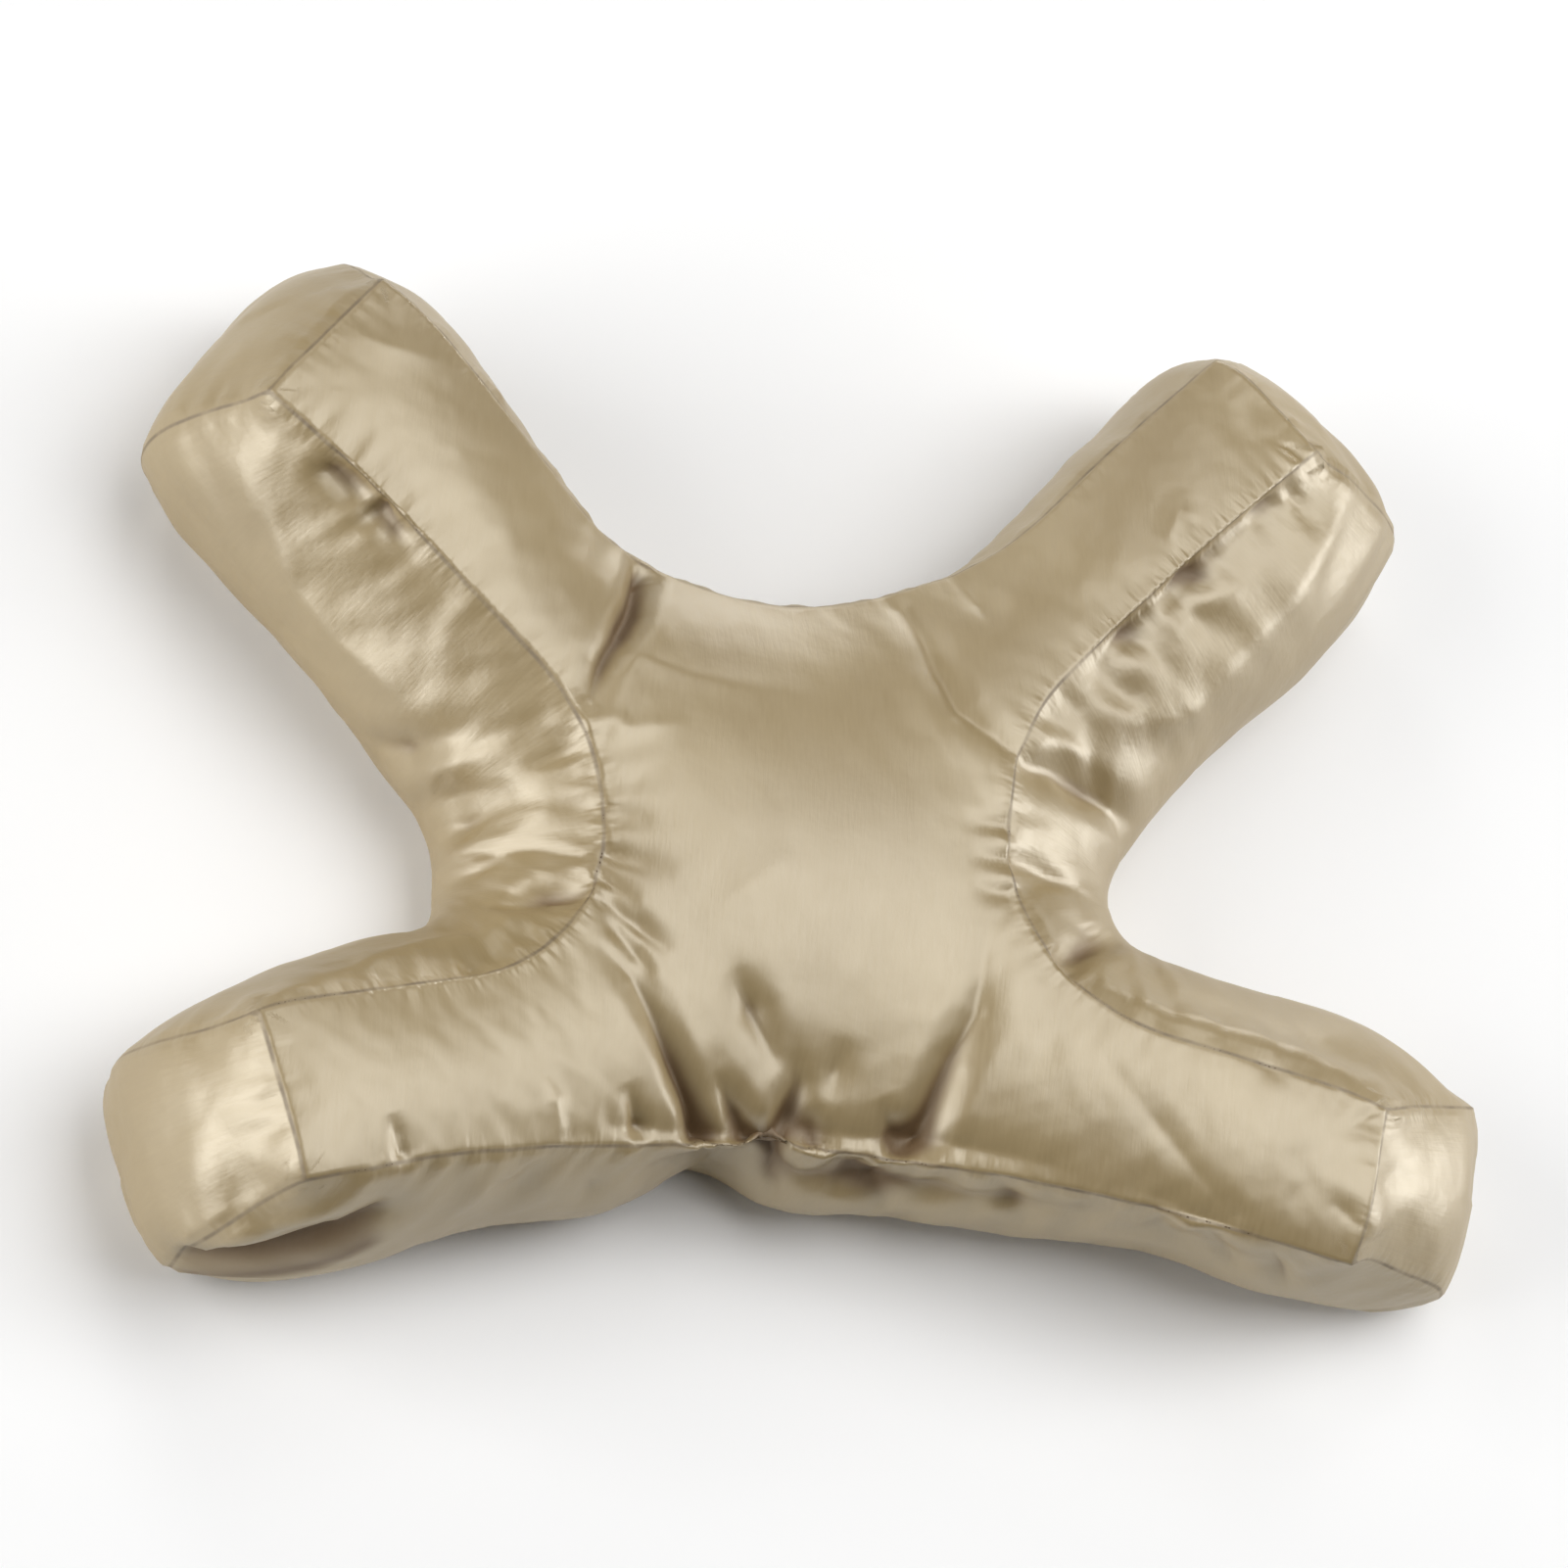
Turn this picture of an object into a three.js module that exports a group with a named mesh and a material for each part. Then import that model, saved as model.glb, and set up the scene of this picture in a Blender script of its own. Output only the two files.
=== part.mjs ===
// Contour pillow: a stuffed cushion with four arms in the shape of an X, lying on its back.
// The cover is a narrow front panel, a wider back panel, four gusset walls that run round the valleys
// between the arms, and four end caps. The cover is first set up as an empty flared form with its seams
// in place. It is then filled: pressure pushes the cloth outwards, the cloth may go slack but may not
// stretch, and its weight settles the back flat on the floor. Last, the seams are raised to the ridges in
// which the panels meet, the walls follow the uneven stuffing and the main folds are pressed in.
// Millimetres, +Z up. X runs across the pillow, Y points to the upper arms and Z = 0 is the floor.

import * as THREE from "three";

// Front panel: the upper arms spread from the middle of the waist, the lower arms from below it.
const UPPER_ROOT_Y = 0;
const LOWER_ROOT_Y = -76;

// Arms, anticlockwise. angle: direction in plan, in degrees. length: from the root to the front seam of
// the end cap. width: of the front panel. height: of that seam. flareLeft, flareRight and flareCap: how
// far the walls and the cap stand out past the front panel at the arm's end.
const ARMS = [
  {
    name: "upper right", rootY: UPPER_ROOT_Y, angle: 47.5, length: 242, width: 47, height: 95,
    flareLeft: -3, flareRight: 51, flareCap: 45,
  },
  {
    name: "upper left", rootY: UPPER_ROOT_Y, angle: 146.5, length: 221, width: 60, height: 102,
    flareLeft: 17, flareRight: 29, flareCap: 29,
  },
  {
    name: "lower left", rootY: LOWER_ROOT_Y, angle: 200.5, length: 181, width: 53, height: 104,
    flareLeft: 5, flareRight: 14, flareCap: 36,
  },
  {
    name: "lower right", rootY: LOWER_ROOT_Y, angle: -10.5, length: 200, width: 54, height: 87,
    flareLeft: 55, flareRight: -32, flareCap: 63,
  },
];

// Valleys, each between an arm and the next one. radius: of the front seam. height: of that seam in the
// valley's middle. flare: how far the wall stands out past the seam there.
const VALLEYS = [
  { name: "top", radius: 163, height: 56, flare: -11 },
  { name: "left", radius: 66, height: 82, flare: 45 },
  { name: "bottom", radius: 456, height: 57, flare: 4 },
  { name: "right", radius: 78, height: 77, flare: 59 },
];

// Main folds, as troughs along a line in plan. from, to: the ends of the line. depth: at the line, where
// a negative depth is a ridge. width: the distance from the line at which about a third is left.
const FOLDS = [
  { name: "upper left root", from: [-60, 74], to: [-80, 17], depth: 6, width: 8 },
  { name: "upper right root", from: [38, 83], to: [65, 27], depth: 4, width: 8 },
  { name: "upper right arm", from: [54, 100], to: [62, 77], depth: 3, width: 7 },
  { name: "lower left root", from: [-57, -78], to: [-38, -108], depth: 4, width: 7 },
  { name: "bottom, left of the pinch", from: [-35, -102], to: [-25, -120], depth: 4, width: 6 },
  { name: "bottom, beside the pinch", from: [-23, -100], to: [-6, -118], depth: 5, width: 6 },
  { name: "bottom pinch", from: [1, -102], to: [-4, -122], depth: 6, width: 6 },
  { name: "lower right root", from: [58, -77], to: [49, -112], depth: 4, width: 7 },
  { name: "bottom wall, ridge", from: [6, -124], to: [10, -144], depth: -4, width: 12 },
  { name: "left wall, low", from: [-73, -50], to: [-100, -48], depth: 5, width: 7 },
  { name: "left wall, middle", from: [-76, -23], to: [-112, -21], depth: 3, width: 8 },
  { name: "left wall, high", from: [-82, 0], to: [-126, 0], depth: 3, width: 8 },
  { name: "right wall, high", from: [74, 23], to: [106, 22], depth: 4, width: 8 },
  { name: "right wall, middle", from: [81, -40], to: [119, -12], depth: 3, width: 8 },
  { name: "right wall, low", from: [89, -52], to: [120, -35], depth: 4, width: 8 },
];

// Seam ridges: height along the front panel and along the sides of the end caps, and the distance in which
// a ridge fades to about a third.
const FRONT_RIDGE = 5;
const CAP_RIDGE = 2;
const RIDGE_REACH = 13;

// Uneven stuffing: places in plan where the cover stands out further or draws in. push: how far it moves
// there. reach: the distance at which about a third is left. front: whether the front panel moves along.
const STUFFING = [
  { name: "top valley, left", at: [-67, 93], push: [-6, -6], reach: 34, front: true },
  { name: "top valley, right", at: [62, 120], push: [3, -3], reach: 36, front: true },
  { name: "upper left wall", at: [-112, 132], push: [-2, -2], reach: 30, front: true },
  { name: "upper left cap", at: [-202, 160], push: [-2, 2], reach: 36, front: false },
  { name: "upper left corner", at: [-223, 91], push: [2, 1], reach: 28, front: false },
  { name: "left waist, high", at: [-124, 10], push: [-3, -2], reach: 30, front: false },
  { name: "left waist, low", at: [-121, -50], push: [5, 0], reach: 24, front: false },
  { name: "lower left wall", at: [-160, -72], push: [-1, 4], reach: 34, front: false },
  { name: "lower left corner", at: [-208, -107], push: [1, -2], reach: 30, front: false },
  { name: "lower left foot", at: [-190, -182], push: [0, 1], reach: 30, front: false },
  { name: "bottom wall, left", at: [-93, -157], push: [-1, 3], reach: 30, front: false },
  { name: "bottom tuck", at: [-14, -136], push: [0, 17], reach: 19, front: false },
  { name: "bottom pinch", at: [20, -140], push: [0, -6], reach: 17, front: false },
  { name: "bottom wall, right", at: [148, -131], push: [1, 8], reach: 40, front: false },
  { name: "lower right foot", at: [203, -136], push: [0, 4], reach: 34, front: false },
  { name: "lower right cap, low", at: [262, -112], push: [3, 1], reach: 30, front: false },
  { name: "lower right cap, high", at: [269, -48], push: [-2, -4], reach: 30, front: false },
  { name: "lower right wall", at: [207, -36], push: [1, 5], reach: 36, front: false },
  { name: "right waist", at: [124, 13], push: [4, -1], reach: 28, front: false },
  { name: "upper right wall", at: [195, 103], push: [2, -1], reach: 36, front: false },
  { name: "upper right corner", at: [244, 165], push: [-6, 2], reach: 34, front: false },
  { name: "upper right cap", at: [148, 197], push: [-1, 3], reach: 36, front: false },
];

// The distance from the front seam over which the walls come to follow the stuffing in full.
const WALL_GIVE = 22;

// Ridges and folds fade out below this height, so that the back stays flat on the floor. Cloth that ends
// up lower than the contact height lies on the floor.
const FOLD_FADE_HEIGHT = 20;
const CONTACT_HEIGHT = 0.6;

// Wall profile: the share of its depth at which a wall is widest, and how far its foot tucks back in. The
// walls follow the flare of an end cap with this power of the distance along the arm.
const WIDEST_AT = 0.6;
const FOOT_TUCK = 12;
const CAP_REACH_POWER = 4;

// Cloth grid: cells across an arm, along half a valley and down a wall.
const CELLS_ACROSS = 8;
const CELLS_ALONG = 22;
const CELLS_DEEP = 10;

// Filling: steps, the push on the cloth at the first and last step, how far its weight lowers it in each
// step, the share of a step that evens the cloth out, and the passes that then take out stretch.
const FILL_STEPS = 160;
const FIRST_PUSH = 0.76;
const LAST_PUSH = 0.152;
const WEIGHT_DROP = 0.095;
const EVENING = 0.05;
const STRETCH_PASSES = 5;

// Vertices that lie closer than this are one stitched vertex.
const STITCH_GRID = 0.001;

const SATIN_COLOUR = 0xb8a98c;
const SATIN_ROUGHNESS = 0.42;

const mix = (a, b, share) => a + (b - a) * share;
const mixPoints = (a, b, share) => a.clone().lerp(b, share);
const ease = (share) => share * share * (3 - 2 * share);
const steps = (count) => Array.from({ length: count + 1 }, (_, index) => index / count);

function armDirection(arm) {
  const turn = THREE.MathUtils.degToRad(arm.angle);
  return new THREE.Vector2(Math.cos(turn), Math.sin(turn));
}

// One long edge of an arm's front panel: side is 1 for the left edge and -1 for the right one.
function armEdge(arm, side) {
  const along = armDirection(arm);
  const out = new THREE.Vector2(-along.y, along.x).multiplyScalar(side);
  const start = out.clone().multiplyScalar(arm.width / 2).add(new THREE.Vector2(0, arm.rootY));
  return { start, along, out };
}

// The rounded corner of the front seam where the left edge of one arm meets the right edge of the next.
function valleyCorner(valley, arm, nextArm) {
  const edge = armEdge(arm, 1);
  const nextEdge = armEdge(nextArm, -1);
  const apart = nextEdge.start.clone().sub(edge.start);
  const reach = apart.cross(nextEdge.along) / edge.along.cross(nextEdge.along);
  const tip = edge.start.clone().addScaledVector(edge.along, reach);
  const bisector = edge.along.clone().add(nextEdge.along).normalize();
  const halfAngle = Math.acos(edge.along.dot(bisector));
  const centre = tip.clone().addScaledVector(bisector, valley.radius / Math.sin(halfAngle));
  const arcLength = valley.radius * (Math.PI / 2 - halfAngle);
  const tangentLength = valley.radius / Math.tan(halfAngle);
  return { tip, bisector, centre, arcLength, tangentLength };
}

const corners = VALLEYS.map((valley, index) => {
  const nextArm = ARMS[(index + 1) % ARMS.length];
  return valleyCorner(valley, ARMS[index], nextArm);
});

// A point of the front seam and its outward direction, from the middle of a valley (share 0) along one
// of its arms to the end cap (share 1).
function seamPoint(valleyIndex, arm, side, share) {
  const valley = VALLEYS[valleyIndex];
  const corner = corners[valleyIndex];
  const edge = armEdge(arm, side);
  const tipReach = corner.tip.clone().sub(edge.start).dot(edge.along);
  const straight = arm.length - tipReach - corner.tangentLength;
  const travel = share * (corner.arcLength + straight);
  if (travel < corner.arcLength) {
    const inward = corner.bisector.clone().negate();
    const turn = side * travel / valley.radius;
    const spoke = inward.rotateAround(new THREE.Vector2(), turn);
    const point = corner.centre.clone().addScaledVector(spoke, valley.radius);
    return { point, out: spoke.negate() };
  }
  const past = corner.tangentLength + travel - corner.arcLength;
  return { point: corner.tip.clone().addScaledVector(edge.along, past), out: edge.out };
}

// A point of a gusset wall: share runs along the seam as above, and depth from the front seam (0) to the
// back seam (1).
function wallPoint(valleyIndex, arm, side, share, depth) {
  const valley = VALLEYS[valleyIndex];
  const seam = seamPoint(valleyIndex, arm, side, share);
  const armFlare = side > 0 ? arm.flareLeft : arm.flareRight;
  const flare = mix(valley.flare, armFlare, ease(share));
  const swell = Math.sin((Math.PI / 2) * Math.min(depth / WIDEST_AT, 1));
  const tuck = FOOT_TUCK * Math.max((depth - WIDEST_AT) / (1 - WIDEST_AT), 0) ** 2;
  const capReach = (arm.flareCap * swell - tuck) * share ** CAP_REACH_POWER;
  const plan = seam.point.addScaledVector(seam.out, flare * swell - tuck);
  plan.addScaledVector(armDirection(arm), capReach);
  const height = mix(valley.height, arm.height, ease(share));
  return new THREE.Vector3(plan.x, plan.y, height * (1 - depth));
}

// The cover as a welded grid of quads, with the kinds of panel that meet at each vertex.
const vertices = [];
const panelsAt = [];
const quads = [];
const stitched = new Map();

function stitch(point, panel) {
  const key = point.toArray().map((value) => Math.round(value / STITCH_GRID)).join();
  if (!stitched.has(key)) {
    stitched.set(key, vertices.length);
    vertices.push(point);
    panelsAt.push(new Set());
  }
  const index = stitched.get(key);
  panelsAt[index].add(panel);
  return index;
}

// Sews in one panel. Rows and columns run so that rows turned towards columns face outwards.
function sewPanel(panel, rows, columns, pointAt) {
  const grid = rows.map((row) => columns.map((column) => stitch(pointAt(row, column), panel)));
  for (let row = 0; row + 1 < rows.length; row++) {
    for (let column = 0; column + 1 < columns.length; column++) {
      const near = grid[row];
      const far = grid[row + 1];
      quads.push([near[column], far[column], far[column + 1], near[column + 1]]);
    }
  }
}

const across = steps(CELLS_ACROSS);
const along = steps(CELLS_ALONG);
const deep = steps(CELLS_DEEP);

// The middle of the front (depth 0) or back (depth 1) panel, between the middles of the four valleys.
function middlePoint(u, v, depth) {
  const [top, left, bottom, right] = ARMS.map((arm, index) => wallPoint(index, arm, 1, 0, depth));
  return mixPoints(mixPoints(top, left, u), mixPoints(right, bottom, u), v);
}

function sewCover() {
  sewPanel("front", across, across, (u, v) => middlePoint(u, v, 0));
  sewPanel("back", across, across, (v, u) => middlePoint(u, v, 1));
  ARMS.forEach((arm, index) => {
    const before = (index + VALLEYS.length - 1) % VALLEYS.length;
    const right = (share, depth) => wallPoint(before, arm, -1, share, depth);
    const left = (share, depth) => wallPoint(index, arm, 1, share, depth);
    const between = (share, depth, u) => mixPoints(right(share, depth), left(share, depth), u);
    sewPanel("front", along, across, (share, u) => between(share, 0, u));
    sewPanel("back", across, along, (u, share) => between(share, 1, u));
    sewPanel("wall", along, deep, (share, depth) => left(share, depth));
    sewPanel("wall", deep, along, (depth, share) => right(share, depth));
    sewPanel("cap", deep, across, (depth, u) => between(1, depth, u));
  });
}

// Threads of the cloth: the sides and diagonals of every quad, each with its own length.
function clothThreads() {
  const threads = new Map();
  const addThread = (a, b) => {
    const key = Math.min(a, b) * vertices.length + Math.max(a, b);
    threads.set(key, { a, b, length: vertices[a].distanceTo(vertices[b]) });
  };
  quads.forEach(([a, b, c, d]) => {
    [[a, b], [b, c], [c, d], [d, a], [a, c], [b, d]].forEach(([start, end]) => addThread(start, end));
  });
  return [...threads.values()];
}

function vertexNormals() {
  const normals = vertices.map(() => new THREE.Vector3());
  quads.forEach((quad) => {
    const [a, b, c, d] = quad.map((index) => vertices[index]);
    const face = c.clone().sub(a).cross(d.clone().sub(b));
    quad.forEach((index) => normals[index].add(face));
  });
  return normals.map((normal) => normal.normalize());
}

function pushOut(distance) {
  vertexNormals().forEach((normal, index) => {
    vertices[index].addScaledVector(normal, distance);
    vertices[index].z -= WEIGHT_DROP;
  });
}

function evenOut(neighbours) {
  const means = neighbours.map((list) => {
    const sum = new THREE.Vector3();
    list.forEach((index) => sum.add(vertices[index]));
    return sum.divideScalar(list.length);
  });
  vertices.forEach((vertex, index) => vertex.lerp(means[index], EVENING));
}

function takeOutStretch(threads) {
  const pull = new THREE.Vector3();
  threads.forEach(({ a, b, length }) => {
    pull.subVectors(vertices[b], vertices[a]);
    const now = pull.length();
    if (now > length) {
      pull.multiplyScalar((now - length) / now / 2);
      vertices[a].add(pull);
      vertices[b].sub(pull);
    }
  });
}

function restOnFloor() {
  vertices.forEach((vertex) => {
    vertex.z = Math.max(vertex.z, 0);
  });
}

function fillCover() {
  const threads = clothThreads();
  const backwards = threads.slice().reverse();
  const neighbours = vertices.map(() => []);
  quads.forEach((quad) => quad.forEach((index, corner) => neighbours[index].push(quad[(corner + 1) % 4])));
  for (let step = 0; step < FILL_STEPS; step++) {
    pushOut(mix(FIRST_PUSH, LAST_PUSH, step / FILL_STEPS));
    evenOut(neighbours);
    for (let pass = 0; pass < STRETCH_PASSES; pass++) {
      takeOutStretch(pass % 2 ? backwards : threads);
      restOnFloor();
    }
  }
}

// The share of a ridge or fold that is left at a height above the floor.
function shareAbove(height) {
  return ease(Math.min(height / FOLD_FADE_HEIGHT, 1));
}

// Raises the seams round the front panel, and less so those between walls and end caps, to ridges.
function raiseSeams() {
  const ridges = vertices.flatMap((vertex, index) => {
    const panels = panelsAt[index];
    if (panels.size < 2 || panels.has("back")) return [];
    return [{ place: vertex.clone(), height: panels.has("front") ? FRONT_RIDGE : CAP_RIDGE }];
  });
  vertexNormals().forEach((normal, index) => {
    const vertex = vertices[index];
    const lift = ridges.reduce((most, { place, height }) => {
      return Math.max(most, height * Math.exp(-place.distanceTo(vertex) / RIDGE_REACH));
    }, 0);
    vertex.addScaledVector(normal, lift * shareAbove(vertex.z));
  });
}

// Moves the cover where the stuffing is uneven.
function settleStuffing() {
  const seam = vertices.filter((_, index) => panelsAt[index].has("front") && panelsAt[index].size > 1);
  const seamPlaces = seam.map((vertex) => vertex.clone());
  vertices.forEach((vertex, index) => {
    const fromSeam = seamPlaces.reduce((least, place) => Math.min(least, place.distanceTo(vertex)), Infinity);
    const wallGive = panelsAt[index].has("front") ? 0 : ease(Math.min(fromSeam / WALL_GIVE, 1));
    const { x, y } = vertex;
    STUFFING.forEach(({ at, push, reach, front }) => {
      const away = Math.hypot(x - at[0], y - at[1]) / reach;
      const share = (front ? 1 : wallGive) * Math.exp(-away * away);
      vertex.x += push[0] * share;
      vertex.y += push[1] * share;
    });
  });
}

// Presses in the folds, each along the cloth's own inward direction.
function pressFolds() {
  const plan = new THREE.Vector3();
  const nearest = new THREE.Vector3();
  const lines = FOLDS.map(({ from, to, depth, width }) => {
    const line = new THREE.Line3(new THREE.Vector3(...from, 0), new THREE.Vector3(...to, 0));
    return { line, depth, width };
  });
  vertexNormals().forEach((normal, index) => {
    const vertex = vertices[index];
    plan.set(vertex.x, vertex.y, 0);
    const sink = lines.reduce((sum, { line, depth, width }) => {
      const away = line.closestPointToPoint(plan, true, nearest).distanceTo(plan) / width;
      return sum + depth * Math.exp(-away * away);
    }, 0);
    vertex.addScaledVector(normal, -sink * shareAbove(vertex.z));
  });
}

// Cloth that all but touches the floor lies flat on it.
function flattenContact() {
  vertices.forEach((vertex) => {
    vertex.z = vertex.z < CONTACT_HEIGHT ? 0 : vertex.z;
  });
}

// Puts the middle of the pillow's plan on the Z axis.
function centrePlan() {
  const middle = new THREE.Box3().setFromPoints(vertices).getCenter(new THREE.Vector3());
  vertices.forEach((vertex) => vertex.sub(new THREE.Vector3(middle.x, middle.y, 0)));
}

// Each quad becomes two triangles, cut along its shorter diagonal.
function pillowGeometry() {
  const faces = quads.flatMap(([a, b, c, d]) => {
    const cutHere = vertices[a].distanceTo(vertices[c]) <= vertices[b].distanceTo(vertices[d]);
    return cutHere ? [a, b, c, a, c, d] : [a, b, d, b, c, d];
  });
  const geometry = new THREE.BufferGeometry();
  const positions = vertices.flatMap((vertex) => vertex.toArray());
  geometry.setAttribute("position", new THREE.Float32BufferAttribute(positions, 3));
  geometry.setIndex(faces);
  geometry.computeVertexNormals();
  return geometry;
}

sewCover();
fillCover();
raiseSeams();
settleStuffing();
pressFolds();
flattenContact();
centrePlan();

const satin = new THREE.MeshStandardMaterial({
  color: SATIN_COLOUR,
  roughness: SATIN_ROUGHNESS,
  metalness: 0,
});
const pillow = new THREE.Mesh(pillowGeometry(), satin);
pillow.name = "pillow";

const contourPillow = new THREE.Group();
contourPillow.add(pillow);

export default contourPillow;
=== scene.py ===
"""Contour pillow: a stuffed cushion with four arms in an X, in champagne satin, lying on its back.

The cover is sewn from the same panels as the solid and filled in the same way. It is then finished as
cloth: seams raised to ridges, uneven stuffing, a cloth simulation under pressure, folds, gathers along the
seams, stitches and the satin itself. Tables are in millimetres in the pattern's own plan, with Y towards
the upper arms and Z up from the floor. The scene is in metres.
"""

import math

import bpy
import numpy as np
from mathutils import Matrix, Vector, kdtree, noise


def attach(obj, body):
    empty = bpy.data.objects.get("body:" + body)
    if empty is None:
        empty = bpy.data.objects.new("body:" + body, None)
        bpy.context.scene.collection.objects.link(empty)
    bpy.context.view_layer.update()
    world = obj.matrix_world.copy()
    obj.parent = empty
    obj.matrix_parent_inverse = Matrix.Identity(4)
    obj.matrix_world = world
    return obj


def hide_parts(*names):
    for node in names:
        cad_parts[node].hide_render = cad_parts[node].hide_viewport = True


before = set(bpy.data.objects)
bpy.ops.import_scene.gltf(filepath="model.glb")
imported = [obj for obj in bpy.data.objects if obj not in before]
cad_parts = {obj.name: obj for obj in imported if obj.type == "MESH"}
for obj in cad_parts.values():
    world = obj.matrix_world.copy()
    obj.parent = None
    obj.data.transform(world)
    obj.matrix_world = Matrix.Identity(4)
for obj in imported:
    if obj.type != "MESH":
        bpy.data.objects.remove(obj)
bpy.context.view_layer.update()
MM = 0.001

# Points this close, in decimals of a millimetre, are sewn together. TINY keeps a division from zero.
WELD_DECIMALS = 3
TINY = 1e-12

# Arms, anticlockwise, as cut for the solid: direction in degrees, length to the end cap's seam, width of
# the front panel, height of that seam, and how far walls and cap stand out past the front panel.
UPPER_ROOT_Y = 0
LOWER_ROOT_Y = -76
ARMS = (
    dict(name="upper right", root_y=UPPER_ROOT_Y, angle=47.5, length=242, width=47, height=95,
         flare_left=-3, flare_right=51, flare_cap=45),
    dict(name="upper left", root_y=UPPER_ROOT_Y, angle=146.5, length=221, width=60, height=102,
         flare_left=17, flare_right=29, flare_cap=29),
    dict(name="lower left", root_y=LOWER_ROOT_Y, angle=200.5, length=181, width=53, height=104,
         flare_left=5, flare_right=14, flare_cap=36),
    dict(name="lower right", root_y=LOWER_ROOT_Y, angle=-10.5, length=200, width=54, height=87,
         flare_left=55, flare_right=-32, flare_cap=63),
)

# Valleys, each between an arm and the next one: radius and height of the front seam in the valley's
# middle, and how far the wall stands out there.
VALLEYS = (
    dict(name="top", radius=163, height=56, flare=-11),
    dict(name="left", radius=66, height=82, flare=45),
    dict(name="bottom", radius=456, height=57, flare=4),
    dict(name="right", radius=78, height=77, flare=59),
)

# Wall profile: where it is widest, how far its foot tucks in, and how it follows the end cap's flare.
WIDEST_AT = 0.6
FOOT_TUCK = 12
CAP_REACH_POWER = 4

# Cloth grid of the pattern: cells across an arm, along half a valley and down a wall.
CELLS_ACROSS = 8
CELLS_ALONG = 22
CELLS_DEEP = 10

# Numbers of the panels. Walls and caps add their valley's or arm's index.
FRONT = 0
BACK = 1
WALL = 2
CAP = 6

# Filling, as for the solid: steps, the push of the filling in the first and last, the drop by weight, how
# far each point is evened out, the passes that hold the cloth to its length, and the height below which it
# lies on the floor.
FILL_STEPS = 160
FIRST_PUSH = 0.76
LAST_PUSH = 0.152
WEIGHT_DROP = 0.095
EVENING = 0.05
STRETCH_PASSES = 5
CONTACT_HEIGHT = 0.6

# Height above the floor at which folds, gathers and ridges are at their full height.
FOLD_FADE_HEIGHT = 20

# Seam ridges: height along the front panel and along the sides of the end caps, and the distance in which
# a ridge fades to about a third.
FRONT_RIDGE = 5.0
CAP_RIDGE = 2.0
RIDGE_REACH = 13.0

# Uneven stuffing, as in the solid: place in plan, push there, reach, and whether the front panel follows.
STUFFING = (
    dict(name="top valley, left", at=(-67, 93), push=(-6, -6), reach=34, front=True),
    dict(name="top valley, right", at=(62, 120), push=(3, -3), reach=36, front=True),
    dict(name="upper left wall", at=(-112, 132), push=(-2, -2), reach=30, front=True),
    dict(name="upper left cap", at=(-202, 160), push=(-2, 2), reach=36),
    dict(name="upper left corner", at=(-223, 91), push=(2, 1), reach=28),
    dict(name="left waist, high", at=(-124, 10), push=(-3, -2), reach=30),
    dict(name="left waist, low", at=(-121, -50), push=(5, 0), reach=24),
    dict(name="lower left wall", at=(-160, -72), push=(-1, 4), reach=34),
    dict(name="lower left corner", at=(-208, -107), push=(1, -2), reach=30),
    dict(name="lower left foot", at=(-190, -182), push=(0, 1), reach=30),
    dict(name="bottom wall, left", at=(-93, -157), push=(-1, 3), reach=30),
    dict(name="bottom tuck", at=(-14, -136), push=(0, 17), reach=19),
    dict(name="bottom pinch", at=(20, -140), push=(0, -6), reach=17),
    dict(name="bottom wall, right", at=(148, -131), push=(1, 8), reach=40),
    dict(name="lower right foot", at=(203, -136), push=(0, 4), reach=34),
    dict(name="lower right cap, low", at=(262, -112), push=(3, 1), reach=30),
    dict(name="lower right cap, high", at=(269, -48), push=(-2, -4), reach=30),
    dict(name="lower right wall", at=(207, -36), push=(1, 5), reach=36),
    dict(name="right waist", at=(124, 13), push=(4, -1), reach=28),
    dict(name="upper right wall", at=(195, 103), push=(2, -1), reach=36),
    dict(name="upper right corner", at=(244, 165), push=(-6, 2), reach=34),
    dict(name="upper right cap", at=(148, 197), push=(-1, 3), reach=36),
)

# Distance from the front seam at which the walls give way in full.
WALL_GIVE = 22

# The middle of the solid's plan, measured in the pattern's plan. The pillow is moved so that it lies on
# the origin, as the solid does.
PLAN_MIDDLE = (19.35, 22.74)

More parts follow.
